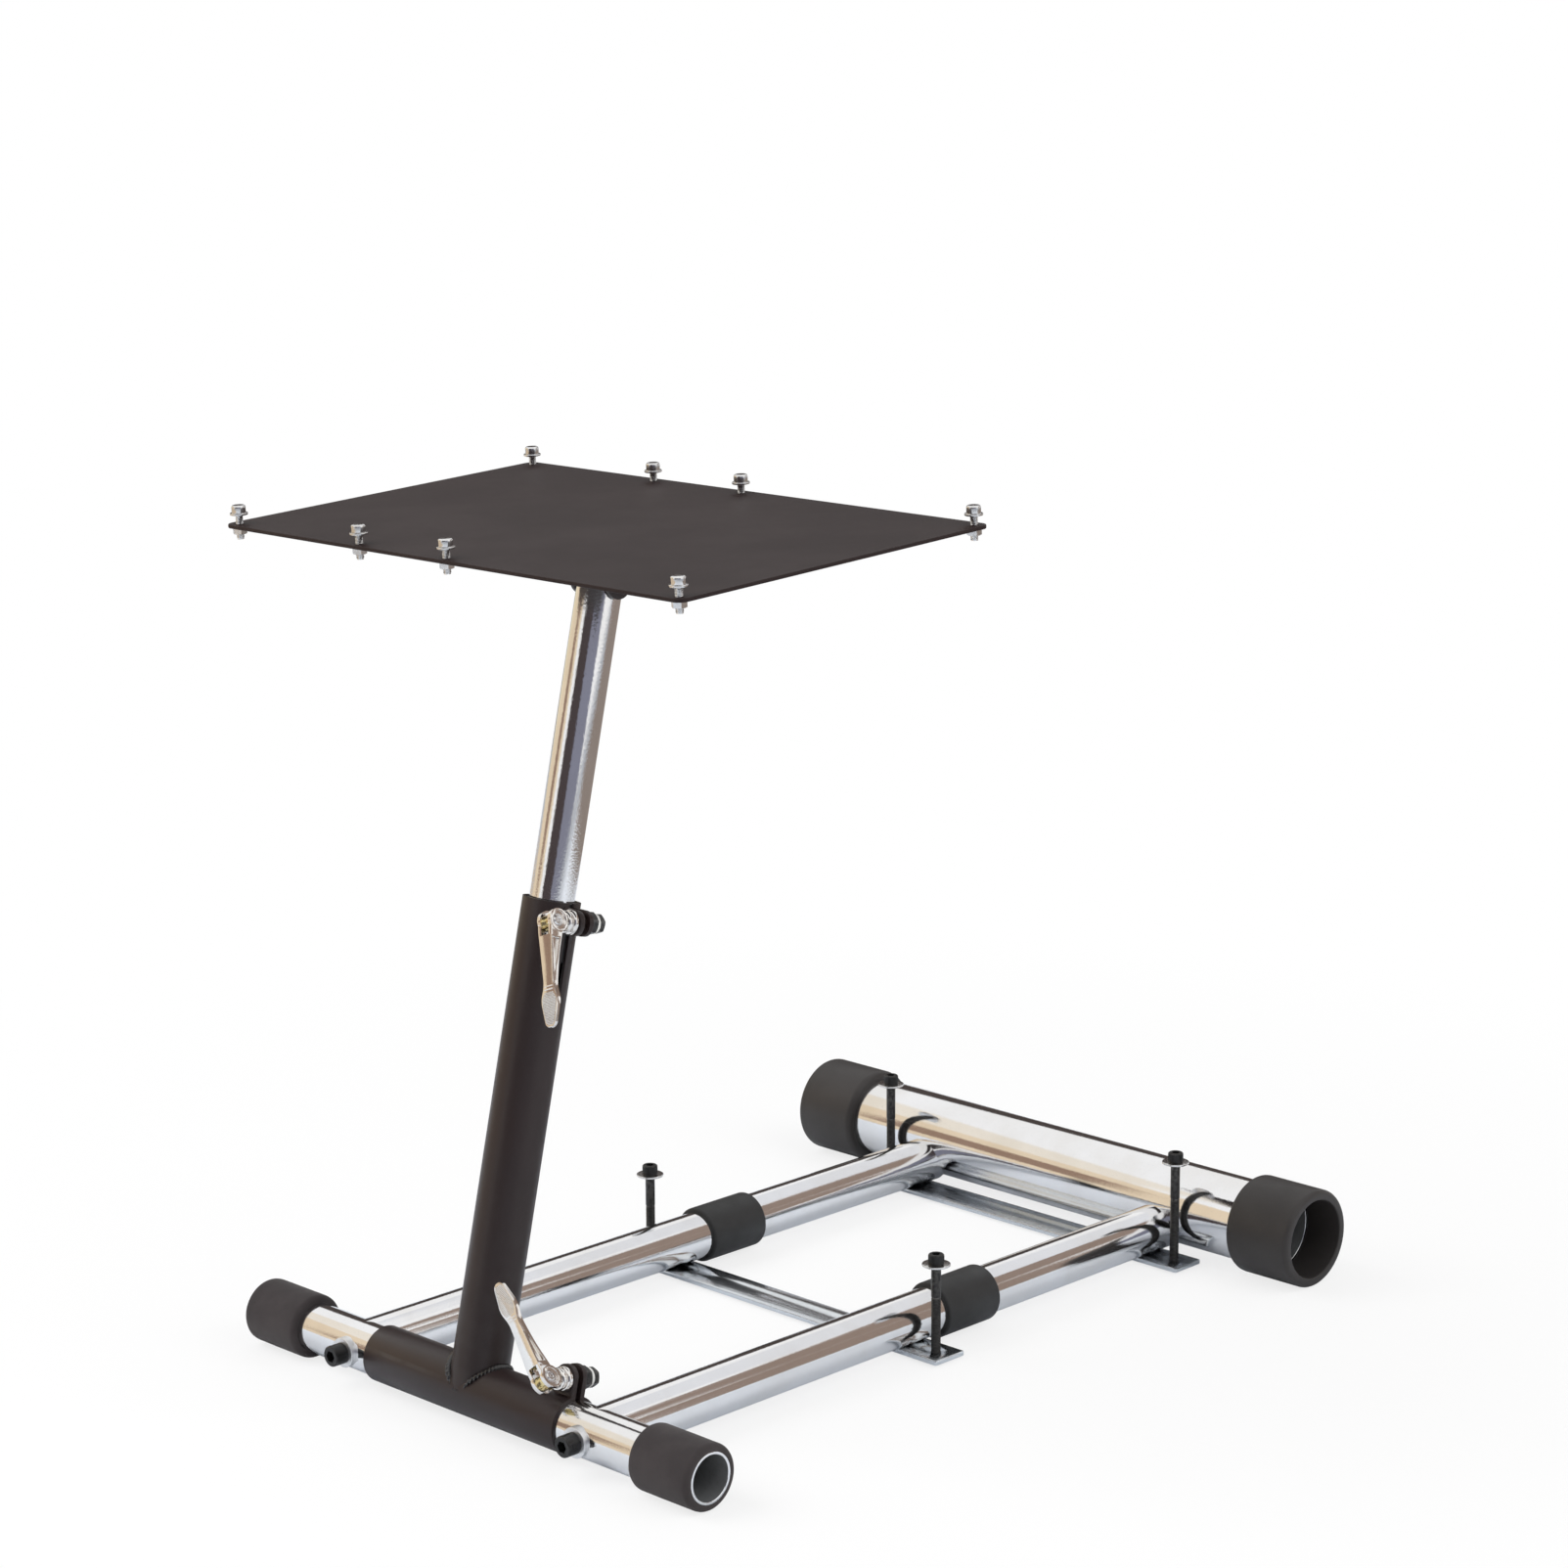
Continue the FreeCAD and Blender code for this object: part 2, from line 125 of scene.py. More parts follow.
def slab(points, depth, segments=6):  # an outline of (x, y, z) or (x, y, z, round), drawn out
    mesh = bmesh.new()
    corners = [mesh.verts.new(p[:3]) for p in points]
    mesh.faces.new(corners)
    for corner, p in zip(corners, points):
        if len(p) > 3:
            roundCorner(mesh, corner, p[3], segments)
    grown = bmesh.ops.extrude_face_region(mesh, geom=mesh.faces[:])
    bmesh.ops.translate(mesh, verts=newVerts(grown), vec=depth)
    return tidyMesh(mesh)


def plate(halfX, front, back, low, depth, corner, segments=8):
    return slab([(-halfX, front, low, corner), (halfX, front, low, corner),
                 (halfX, back, low, corner), (-halfX, back, low, corner)], (0, 0, depth), segments)


def block(low, high):
    mesh = bmesh.new()
    low, high = Vector(low), Vector(high)
    place = Matrix.Translation((low + high) / 2) @ Matrix.Diagonal((*(high - low), 1.0))
    bmesh.ops.create_cube(mesh, size=1.0, matrix=place)
    return mesh


def rod(radius, start, end, steps=64, rounds=(0.0, 0.0)):
    return lathe([(start, 0.0), (start, radius, rounds[0]), (end, radius, rounds[1]), (end, 0.0)],
                 steps, closed=False)


def drill(radius, steps=64):  # a long rod to cut with
    return rod(radius, -cutReach, cutReach, steps)


def ring(inner, outer, start, end, edge, steps=64):
    return lathe([(start, inner), (start, outer, edge), (end, outer, edge), (end, inner)], steps)


def pipe(look, start, end):  # open tube, its bore marked for a lining
    radius, rim = look["radius"], look["rim"]
    bore = radius - look["wall"]
    mesh = lathe([(start, bore, rim), (start, radius, rim), (end, radius, rim), (end, bore, rim)],
                 look["steps"])
    for face in mesh.faces:
        centre = face.calc_center_median()
        if math.hypot(centre.y, centre.z) < bore + snug:
            face.material_index = 1
    return mesh


def hexPrism(across, start, end):
    mesh = bmesh.new()
    corner = across / math.sqrt(3)
    bmesh.ops.create_cone(mesh, cap_ends=True, segments=6, radius1=corner, radius2=corner,
                          depth=end - start, matrix=shift((start + end) / 2) @ turned(90, "Y"))
    return mesh


def moved(mesh, place):
    mesh.transform(place)
    return mesh


def joined(*meshes):
    whole = bmesh.new()
    for mesh in meshes:
        carry = bpy.data.meshes.new("carry")
        mesh.to_mesh(carry)
        whole.from_mesh(carry)
        bpy.data.meshes.remove(carry)
    return whole


def looseObject(mesh):
    data = bpy.data.meshes.new("loose")
    mesh.to_mesh(data)
    thing = bpy.data.objects.new("loose", data)
    scene.collection.objects.link(thing)
    return thing


def combine(mesh, *steps):  # each step is ("UNION", "DIFFERENCE" or "INTERSECT", other mesh)
    things = [looseObject(mesh)]
    for operation, other in steps:
        things.append(looseObject(other))
        change = things[0].modifiers.new("change", "BOOLEAN")
        change.operation = operation
        change.solver = "EXACT"
        change.object = things[-1]
    bpy.context.view_layer.update()
    made = things[0].evaluated_get(bpy.context.evaluated_depsgraph_get())
    result = bmesh.new()
    result.from_mesh(made.to_mesh())
    made.to_mesh_clear()
    for thing in things:
        data = thing.data
        bpy.data.objects.remove(thing)
        bpy.data.meshes.remove(data)
    bmesh.ops.remove_doubles(result, verts=result.verts, dist=mergeGap)
    bmesh.ops.dissolve_limit(result, angle_limit=math.radians(flatAngle), verts=result.verts,
                             edges=result.edges)
    return result


def cut(mesh, *others):
    return combine(mesh, *[("DIFFERENCE", other) for other in others])


def softenEdges(mesh, width, segments=2, angle=32, above=-math.inf):
    sharp = [e for e in mesh.edges if e.is_manifold
             and e.calc_face_angle(0.0) > math.radians(angle)
             and min(v.co.z for v in e.verts) > above]
    bmesh.ops.bevel(mesh, geom=sharp, offset=width, offset_type="OFFSET", segments=segments,
                    profile=0.5, affect="EDGES", material=-1, clamp_overlap=True)
    return mesh


def cutPlane(mesh, point, normal, clear=False):
    bmesh.ops.bisect_plane(mesh, geom=mesh.verts[:] + mesh.edges[:] + mesh.faces[:],
                           dist=planeGap, plane_co=point, plane_no=normal, clear_outer=clear)
    return mesh


def newPiece(name, mesh, place, material, body, nodes=(), sharpAngle=38, lining=None):
    mesh.transform(place @ Matrix.Scale(millimetre, 4))
    bmesh.ops.remove_doubles(mesh, verts=mesh.verts, dist=mergeGap * millimetre)
    bmesh.ops.recalc_face_normals(mesh, faces=mesh.faces)
    data = bpy.data.meshes.new(name)
    mesh.to_mesh(data)
    mesh.free()
    data.shade_smooth()
    data.set_sharp_from_angle(angle=math.radians(sharpAngle))
    data.materials.append(material)
    if lining:
        data.materials.append(lining)
    piece = bpy.data.objects.new(name, data)
    scene.collection.objects.link(piece)
    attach(piece, body)
    if nodes:
        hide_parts(*nodes)
    return piece


# finishes

def addNode(tree, kind, settings=None, **sockets):
    item = tree.nodes.new("ShaderNode" + kind)
    for key, value in (settings or {}).items():
        setattr(item, key, value)
    for key, value in sockets.items():
        plug(tree, value, item.inputs[key.replace("_", " ")])
    return item


def plug(tree, value, socket):
    if isinstance(value, bpy.types.NodeSocket):
        tree.links.new(value, socket)
    else:
        socket.default_value = value


def calc(tree, operation, *values):
    item = addNode(tree, "Math", {"operation": operation})
    for index, value in enumerate(values):
        plug(tree, value, item.inputs[index])
    return item.outputs[0]


def mixColour(tree, share, first, second):
    mix = addNode(tree, "Mix", {"data_type": "RGBA"})
    for value, index in ((share, 0), (first, 6), (second, 7)):  # the colour sockets are 6 and 7
        plug(tree, value, mix.inputs[index])
    return mix.outputs[2]


def newGroup(name, inputs, outputs):
    group = bpy.data.node_groups.new(name, "ShaderNodeTree")
    for label, kind in inputs:
        group.interface.new_socket(name=label, in_out="INPUT", socket_type=kind)
    for label in outputs:
        group.interface.new_socket(name=label, in_out="OUTPUT", socket_type=number)
    given = group.nodes.new("NodeGroupInput").outputs
    return group, given, group.nodes.new("NodeGroupOutput").inputs


def useGroup(tree, group, **sockets):
    item = tree.nodes.new("ShaderNodeGroup")
    item.node_tree = group
    for key, value in sockets.items():
        plug(tree, value, item.inputs[key])
    return item.outputs


def rampBetween(tree, value, low, high):
    return addNode(tree, "MapRange", {"interpolation_type": "SMOOTHSTEP"}, Value=value,
                   From_Min=low, From_Max=high).outputs["Result"]


vector, number = "NodeSocketVector", "NodeSocketFloat"
grainRange = {"clouds": (0.32, 0.68), "specks": (0.22, 0.08)}
grainGroup, given, put = newGroup(  # fine tooth, slow cloudiness and sparse specks
    "grain", [("Place", vector), ("Fine", number), ("Cloud", number), ("Speck", number)],
    ["Tooth", "Clouds", "Specks"])
tooth = addNode(grainGroup, "TexNoise", Vector=given["Place"], Scale=given["Fine"],
                Detail=3.0, Roughness=0.6).outputs["Fac"]
clouds = addNode(grainGroup, "TexNoise", Vector=given["Place"], Scale=given["Cloud"],
                 Detail=4.0, Roughness=0.55).outputs["Fac"]
specks = addNode(grainGroup, "TexVoronoi", {"feature": "F1"}, Vector=given["Place"],
                 Scale=given["Speck"]).outputs["Distance"]
plug(grainGroup, tooth, put["Tooth"])
plug(grainGroup, rampBetween(grainGroup, clouds, *grainRange["clouds"]), put["Clouds"])
plug(grainGroup, rampBetween(grainGroup, specks, *grainRange["specks"]), put["Specks"])

wearRange = {"bend": (0.53, 0.62), "patches": (0.35, 0.62)}
wearGroup, given, put = newGroup(  # rubbed outer edges, broken up by noise
    "edgeWear", [("Place", vector), ("Break", number)], ["Edges"])
bend = addNode(wearGroup, "NewGeometry").outputs["Pointiness"]
patches = addNode(wearGroup, "TexNoise", Vector=given["Place"], Scale=given["Break"],
                  Detail=5.0).outputs["Fac"]
rubbed = calc(wearGroup, "MULTIPLY", rampBetween(wearGroup, bend, *wearRange["bend"]),
              rampBetween(wearGroup, patches, *wearRange["patches"]))
plug(wearGroup, rubbed, put["Edges"])

wearBreak = 6  # edge wear is broken up this much finer than the clouds
unevenRange = (0.2, 0.8)  # share of grain that spans the roughness


def finish(name, ownLook):
    look = {**plainLook, **ownLook}
    material = bpy.data.materials.new(name)
    material.use_nodes = True
    tree = material.node_tree
    shader = tree.nodes["Principled BSDF"]
    place = addNode(tree, "TexCoord").outputs["Object"]
    if "stretch" in look:
        place = addNode(tree, "Mapping", Vector=place, Scale=look["stretch"]).outputs["Vector"]
    grain = useGroup(tree, grainGroup, Place=place, Fine=look["fine"], Cloud=look["cloud"],
                     Speck=look["speck"])
    edges = useGroup(tree, wearGroup, Place=place, Break=look["cloud"] * wearBreak)["Edges"]
    colour = mixColour(tree, grain["Clouds"], (*look["colour"], 1.0), (*look["second"], 1.0))
    speckShare = calc(tree, "MULTIPLY", grain["Specks"], look["speckle"])
    colour = mixColour(tree, speckShare, colour, (*look["speckColour"], 1.0))
    edgeShare = calc(tree, "MULTIPLY", edges, look["wear"])
    colour = mixColour(tree, edgeShare, colour, (*look["worn"], 1.0))
    plug(tree, colour, shader.inputs["Base Color"])
    uneven = calc(tree, "MULTIPLY", calc(tree, "ADD", grain["Clouds"], grain["Tooth"]), 0.5)
    smoothest, roughest = look["rough"]
    rough = addNode(tree, "MapRange", Value=uneven, From_Min=unevenRange[0],
                    From_Max=unevenRange[1], To_Min=smoothest, To_Max=roughest).outputs["Result"]
    plug(tree, rough, shader.inputs["Roughness"])
    bump = addNode(tree, "Bump", Height=grain["Tooth"], Strength=look["bump"],
                   Distance=look["depth"])
    plug(tree, bump.outputs["Normal"], shader.inputs["Normal"])
    for label, key in (("Metallic", "metal"), ("Specular IOR Level", "gloss"),
                       ("Sheen Weight", "sheen")):
        plug(tree, look[key], shader.inputs[label])
    return material


plainLook = {"wear": 0.5, "speckle": 0.3, "bump": 0.1, "depth": 0.0002, "metal": 0.0, "gloss": 0.5,
             "sheen": 0.0}
chromeLook = {
    "colour": (0.86, 0.86, 0.87), "second": (0.8, 0.79, 0.78), "worn": (0.9, 0.9, 0.9), "wear": 0.3,
    "speckColour": (0.6, 0.61, 0.66), "speckle": 0.35, "speck": 420.0, "fine": 900.0, "cloud": 14.0,
    "rough": (0.03, 0.09), "bump": 0.16, "metal": 1.0}
chromePlate = finish("chromePlate", chromeLook)
postChrome = finish("postChrome", {**chromeLook, "bump": 0.5, "fine": 520.0, "speckle": 0.5})
steelBore = finish("steelBore", {
    "colour": (0.2, 0.205, 0.21), "second": (0.15, 0.155, 0.16), "worn": (0.3, 0.3, 0.3),
    "wear": 0.2, "speckColour": (0.12, 0.1, 0.08), "speck": 300.0, "fine": 700.0, "cloud": 30.0,
    "rough": (0.5, 0.7), "bump": 0.2, "depth": 0.0003, "metal": 0.3})
zincPlate = finish("zincPlate", {
    "colour": (0.74, 0.77, 0.79), "second": (0.64, 0.67, 0.7), "worn": (0.9, 0.91, 0.92),
    "wear": 0.8, "speckColour": (0.45, 0.47, 0.5), "speckle": 0.25, "speck": 260.0, "fine": 700.0,
    "cloud": 22.0, "rough": (0.12, 0.3), "metal": 1.0, "stretch": (0.12, 1.0, 1.0)})
satinBlackLook = {
    "colour": (0.0215, 0.0125, 0.012), "second": (0.0185, 0.011, 0.0107),
    "worn": (0.06, 0.055, 0.054), "wear": 0.4, "speckColour": (0.035, 0.031, 0.03), "speck": 380.0,
    "fine": 1100.0, "cloud": 9.0, "rough": (0.34, 0.44), "bump": 0.12, "depth": 0.0003,
    "gloss": 0.4}
satinBlack = finish("satinBlack", satinBlackLook)
trayBlack = finish("trayBlack", {**satinBlackLook, "rough": (0.5, 0.56), "gloss": 0.22})
paintedWeld = finish("paintedWeld", {
    "colour": (0.014, 0.0125, 0.0125), "second": (0.011, 0.01, 0.01), "worn": (0.05, 0.047, 0.045),
    "speckColour": (0.03, 0.027, 0.026), "speckle": 0.4, "speck": 600.0, "fine": 900.0,
    "cloud": 40.0, "rough": (0.08, 0.2), "bump": 0.6, "depth": 0.0006, "gloss": 0.9})
foamSkin = finish("foamSkin", {
    "colour": (0.052, 0.044, 0.045), "second": (0.043, 0.037, 0.038), "worn": (0.085, 0.076, 0.076),
    "speckColour": (0.02, 0.017, 0.017), "speckle": 0.5, "speck": 900.0, "fine": 1500.0,
    "cloud": 30.0, "rough": (0.8, 0.95), "bump": 0.35, "depth": 0.0005, "gloss": 0.2, "sheen": 0.1})
footRubber = finish("footRubber", {
    "colour": (0.034, 0.03, 0.029), "second": (0.028, 0.025, 0.024), "worn": (0.085, 0.078, 0.076),
    "speckColour": (0.05, 0.045, 0.045), "speck": 300.0, "fine": 800.0, "cloud": 12.0,
    "rough": (0.42, 0.56), "bump": 0.15, "depth": 0.0003, "gloss": 0.4})
sleeveRubber = finish("sleeveRubber", {
    "colour": (0.018, 0.018, 0.019), "second": (0.014, 0.014, 0.014), "worn": (0.05, 0.05, 0.05),
    "speckColour": (0.04, 0.04, 0.04), "speck": 420.0, "fine": 900.0, "cloud": 20.0,
    "rough": (0.45, 0.62), "bump": 0.15, "depth": 0.0003})
blackOxide = finish("blackOxide", {
    "colour": (0.018, 0.017, 0.017), "second": (0.012, 0.012, 0.012), "worn": (0.2, 0.19, 0.18),
    "wear": 0.6, "speckColour": (0.06, 0.05, 0.045), "speckle": 0.35, "speck": 700.0,
    "fine": 1600.0, "cloud": 60.0, "rough": (0.26, 0.42), "bump": 0.12, "metal": 0.35})
brightSteelLook = {
    "colour": (0.78, 0.78, 0.78), "second": (0.69, 0.68, 0.67), "worn": (0.9, 0.9, 0.9),
    "wear": 0.6, "speckColour": (0.45, 0.44, 0.43), "speck": 600.0, "fine": 1600.0, "cloud": 70.0,
    "rough": (0.1, 0.24), "bump": 0.08, "metal": 1.0}
brightSteel = finish("brightSteel", brightSteelLook)
dullSteel = finish("dullSteel", {
    **brightSteelLook, "colour": (0.84, 0.84, 0.84), "second": (0.76, 0.76, 0.76),
    "rough": (0.34, 0.46)})
nickelPlate = finish("nickelPlate", {
    "colour": (0.85, 0.83, 0.8), "second": (0.77, 0.74, 0.71), "worn": (0.93, 0.91, 0.89),
    "wear": 0.6, "speckColour": (0.55, 0.52, 0.49), "speckle": 0.25, "speck": 500.0,
    "fine": 1200.0, "cloud": 45.0, "rough": (0.06, 0.16), "metal": 1.0})
brassPin = finish("brassPin", {
    "colour": (0.78, 0.64, 0.3), "second": (0.66, 0.52, 0.22), "worn": (0.88, 0.78, 0.48),
    "speckColour": (0.3, 0.2, 0.07), "speckle": 0.35, "speck": 700.0, "fine": 1500.0,
    "cloud": 80.0, "rough": (0.16, 0.3), "metal": 1.0})
nylonWhite = finish("nylonWhite", {
    "colour": (0.82, 0.82, 0.8), "second": (0.74, 0.74, 0.71), "worn": (0.86, 0.86, 0.84),
    "wear": 0.3, "speckColour": (0.62, 0.62, 0.59), "speck": 700.0, "fine": 1500.0, "cloud": 80.0,
    "rough": (0.4, 0.55)})
blackPlastic = finish("blackPlastic", {
    "colour": (0.02, 0.02, 0.02), "second": (0.015, 0.015, 0.016), "worn": (0.05, 0.05, 0.05),
    "wear": 0.4, "speckColour": (0.035, 0.035, 0.035), "speck": 500.0, "fine": 1300.0,
    "cloud": 40.0, "rough": (0.4, 0.55), "bump": 0.12})
print("finishes made")


# front cross tube, foam sleeves

frontTube = {"half": 255.0, "radius": 20.0, "wall": 2.2, "rim": 0.5, "steps": 128}
tube = pipe(frontTube, -frontTube["half"], frontTube["half"])
newPiece("front_tube", tube, frontPlace, chromePlate, "base", ["front_cross_tube"],
         lining=steelBore)

foam = {"radius": 26.0, "length": 62.0, "round": 4.4, "inner": 20.05, "steps": 96, "rings": 9,
        "unevenness": 0.3, "lump": 0.07, "apart": 9.0}
for side, node in ((-1, "front_left_foam"), (1, "front_right_foam")):
    sleeve = ring(foam["inner"], foam["radius"], 0.0, foam["length"], foam["round"],
                  foam["steps"])
    lengthwise = [e for e in sleeve.edges if e.calc_length() > foam["length"] / 2]
    bmesh.ops.subdivide_edges(sleeve, edges=lengthwise, cuts=foam["rings"], use_grid_fill=True)
    offset = Vector((side * foam["apart"], 0, 0))  # so that the two differ
    for v in sleeve.verts:  # pressed foam is never quite true
        reach = math.hypot(v.co.y, v.co.z)
        if reach > foam["radius"] - foam["round"] / 2:
            lump = noise.noise(v.co * foam["lump"] + offset)
            dent = foam["unevenness"] * (1.0 + lump) / 2
            v.co.yz = v.co.yz * (1.0 - dent / reach)
    start = frontTube["half"] - foam["length"] if side > 0 else -frontTube["half"]
    name = node.replace("front_", "") + "_sleeve"
    piece = newPiece(name, sleeve, frontPlace @ at(start), foamSkin, "base", [node])
print("front tube and foam made")


# rear cross tube, open rubber feet

rearTube = {"half": 247.0, "radius": 35.0, "wall": 2.5, "rim": 0.6, "steps": 160}
tube = pipe(rearTube, -rearTube["half"], rearTube["half"])
newPiece("rear_tube", tube, rearPlace, chromePlate, "base", ["rear_cross_tube"],
         lining=steelBore)

foot = {"neck": 217.0, "mouth": 282.0, "radius": 42.0, "mouthRadius": 33.5, "grip": 30.0,
        "neckRound": 6.0, "rimRound": 4.2, "innerRound": 1.4, "stopRound": 2.0, "steps": 128}
gripEnd = foot["neck"] + foot["grip"]
for turn, node in ((flip, "rear_left_foot"), (asDrawn, "rear_right_foot")):
    cup = lathe([(foot["neck"], rearTube["radius"]),
                 (foot["neck"], foot["radius"], foot["neckRound"]),
                 (foot["mouth"], foot["radius"], foot["rimRound"]),
                 (foot["mouth"], foot["mouthRadius"], foot["innerRound"]),
                 (gripEnd, foot["mouthRadius"], foot["stopRound"]),
                 (gripEnd, rearTube["radius"])], foot["steps"])
    newPiece(node + "_cup", cup, rearPlace @ turn, footRubber, "base", [node])
print("rear tube and feet made")


# screws, threads and nuts

capScrew = {"teeth": 36, "toothDepth": 0.3, "toothEnd": 1.56, "chamfer": 0.7, "collar": 1.3,
            "seatEdge": 0.3, "draft": 0.15}
threadForm = {"steps": 18, "coreSteps": 24, "coreShare": 0.1, "stub": 0.2}
nutForm = {"chamfer": 1.1, "slope": 0.55, "steps": 48}


def screwHead(look):  # seat at x = 0, head towards minus x
    radius, height = look["radius"], look["height"]
    edge, collar, chamfer = capScrew["seatEdge"], capScrew["collar"], capScrew["chamfer"]
    slim = radius - capScrew["draft"]
    head = lathe([(0.0, 0.0), (0.0, radius - edge), (-edge, radius), (-collar, radius),
                  (capScrew["toothEnd"] - height, radius), (chamfer - height, slim),
                  (-height, slim - chamfer), (-height, 0.0)], capScrew["teeth"] * 2, closed=False)
    step = math.pi / capScrew["teeth"]
    for v in head.verts:  # every second line of the grip is sunk
        count = round(math.atan2(v.co.y, v.co.z) / step)
        onGrip = -v.co.x > collar - snug and math.hypot(v.co.y, v.co.z) > radius - snug
        if count % 2 and onGrip:
            v.co.yz = v.co.yz * (1.0 - capScrew["toothDepth"] / radius)
    return cut(head, hexPrism(look["key"], -height - past, look["keyDepth"] - height))


def thread(radius, pitch, depth, start, end):
    mesh = bmesh.new()
    root, steps = radius - depth, threadForm["steps"]
    section = ((0.0, root), (pitch / 2, radius), (pitch, root))
    ridge = [mesh.verts.new((start + along, 0.0, out)) for along, out in section]
    lines = [mesh.edges.new(pair) for pair in zip(ridge, ridge[1:])]
    turns = int((end - start) / pitch) - 1
    bmesh.ops.spin(mesh, geom=ridge + lines, cent=(0, 0, 0), axis=(1, 0, 0),
                   dvec=(pitch / steps, 0, 0), angle=2 * math.pi * turns, steps=steps * turns,
                   use_merge=False)
    core = root + depth * threadForm["coreShare"]
    return joined(tidyMesh(mesh),
                  rod(core, start - threadForm["stub"], end, threadForm["coreSteps"]))


def hexNut(across, start, end, chamfer=nutForm["chamfer"]):
    corner, slope = across / math.sqrt(3), chamfer * nutForm["slope"]
    cone = lathe([(start, 0.0), (start, corner - chamfer), (start + slope, corner + snug),
                  (end - slope, corner + snug), (end, corner - chamfer), (end, 0.0)],
                 nutForm["steps"], closed=False)
    return combine(hexPrism(across, start, end), ("INTERSECT", cone))


# rails, their rubber sleeves and their cap screws

rail = {"x": 134.0, "radius": 20.0, "span": 685.0, "endGap": 22.0, "rearRise": 16.0,
        "sleeveStart": 366.0, "sleeveLength": 62.0, "sleeveWall": 3.4, "sleeveRound": 2.4,
        "steps": 96, "sharpAngle": 50}
railScrew = {"radius": 8.4, "height": 12.0, "key": 8.4, "keyDepth": 6.6, "shank": 5.0,
             "saddleRadius": 12.0, "saddle": 3.0, "saddleEdge": 0.6, "saddleDepth": 8.0}
railEnd = rail["span"] - rail["endGap"]
saddleReach = frontTube["radius"] + railScrew["saddle"]
for side, word in ((-1, "left"), (1, "right")):
    x = side * rail["x"]
    tube = moved(rod(rail["radius"], 0.0, railEnd, rail["steps"]), shift(x) @ toY)
    frontRod = drill(frontTube["radius"] - snug, frontTube["steps"])
    rearRod = moved(drill(rearTube["radius"] - snug, rearTube["steps"]),
                    shift(0, rail["span"], rail["rearRise"]))
    newPiece(word + "_rail_tube", cut(tube, frontRod, rearRod), frontPlace, chromePlate, "base",
             [word + "_rail"], rail["sharpAngle"])
    cover = ring(rail["radius"], rail["radius"] + rail["sleeveWall"], 0.0, rail["sleeveLength"],
                 rail["sleeveRound"], rail["steps"])
    newPiece(word + "_rail_cover", cover, frontPlace @ at(x, rail["sleeveStart"]) @ toY,
             sleeveRubber, "base", [word + "_rail_sleeve"])
    seat = frontPlace @ at(x, -saddleReach) @ toY
    newPiece(word + "_rail_screw_head", screwHead(railScrew), seat, blackOxide, "base",
             [word + "_rail_screw"])
    saddle = ring(railScrew["shank"], railScrew["saddleRadius"], 0.0, railScrew["saddleDepth"],
                  railScrew["saddleEdge"])
    tubeBody = moved(drill(frontTube["radius"], frontTube["steps"]), shift(saddleReach) @ toY)
    newPiece(word + "_rail_screw_saddle", cut(saddle, tubeBody), seat, dullSteel, "base")
print("rails made")


# flat bars and their upright bolts

bar = {"half": 180.0, "width": 34.0, "thickness": 4.0, "boltX": 164.5, "edge": 0.7, "corner": 1.5,
       "segments": 3, "starts": (324.0, 626.0), "rises": (74.0, 88.0)}
barBolt = {"radius": 6.5, "height": 8.0, "key": 6.0, "keyDepth": 4.4, "shank": 4.0, "steps": 32,
           "pitch": 1.25, "threadDepth": 0.5, "threadStart": 0.3, "plainShare": 0.35,
           "runout": 0.6, "shankRounds": (0.4, 0.0), "washer": 11.5, "washerHeight": 1.6,
           "washerEdge": 0.45}
shankRadius = barBolt["shank"]
for start, rise, word in zip(bar["starts"], bar["rises"], ("front", "rear")):
    low, high = -rail["radius"] - bar["thickness"], -rail["radius"]
    end, centre = start + bar["width"], start + bar["width"] / 2
    strip = plate(bar["half"], start, end, low, bar["thickness"], bar["corner"], bar["segments"])
    holes = [moved(rod(shankRadius, low - past, high + past, barBolt["steps"]),
                   shift(side * bar["boltX"], centre) @ toZ) for side in (-1, 1)]
    newPiece(word + "_flat_bar", softenEdges(cut(strip, *holes), bar["edge"]), frontPlace,
             zincPlate, "base", [word + "_bar"])
    height = bar["thickness"] + rise
    plain = height * (1.0 - barBolt["plainShare"])
    runout = plain - barBolt["runout"]
    for side, hand in ((-1, "left"), (1, "right")):
        stand = frontPlace @ at(side * bar["boltX"], centre, low) @ toZ
        shank = rod(shankRadius, runout, height, barBolt["steps"], barBolt["shankRounds"])
        body = joined(thread(shankRadius, barBolt["pitch"], barBolt["threadDepth"],
                             barBolt["threadStart"], plain),
                      shank, moved(screwHead(barBolt), shift(height) @ flip))
        name = word + "_" + hand + "_bar_bolt"
        newPiece(name + "_body", body, stand, blackOxide, "base", [name])
        washer = ring(shankRadius, barBolt["washer"], height - barBolt["washerHeight"], height,
                      barBolt["washerEdge"])
        newPiece(name + "_washer", washer, stand, brightSteel, "base")
print("bars made")


# pivot sleeve and column, both split and clamped

clamp = {"slot": 5.0, "slotEnd": 4.0, "slotSteps": 32, "lugThickness": 4.0, "lugHeight": 20.0,
         "lugRound": 9.0, "lugRoot": 20.4, "lugSegments": 10, "overhang": 11.0, "bolt": 3.0,
         "gap": 0.2, "boltSteps": 40, "edge": 0.6, "ringGap": 3.0}
pivot = {"radius": 22.5, "bore": 20.05, "half": 109.0, "slotStart": 60.0, "clampX": 99.0,
         "clampU": 33.5, "turn": 138.7, "lugInset": 0.01, "steps": 128}
column = {"radius": 22.5, "bore": 20.0, "top": 380.5, "slotBottom": 303.0, "clampX": 31.5,
          "clampU": 367.5, "turn": -21.5, "softFrom": 100.0, "steps": 128}
halfSlot, halfLug = clamp["slot"] / 2, clamp["lugHeight"] / 2
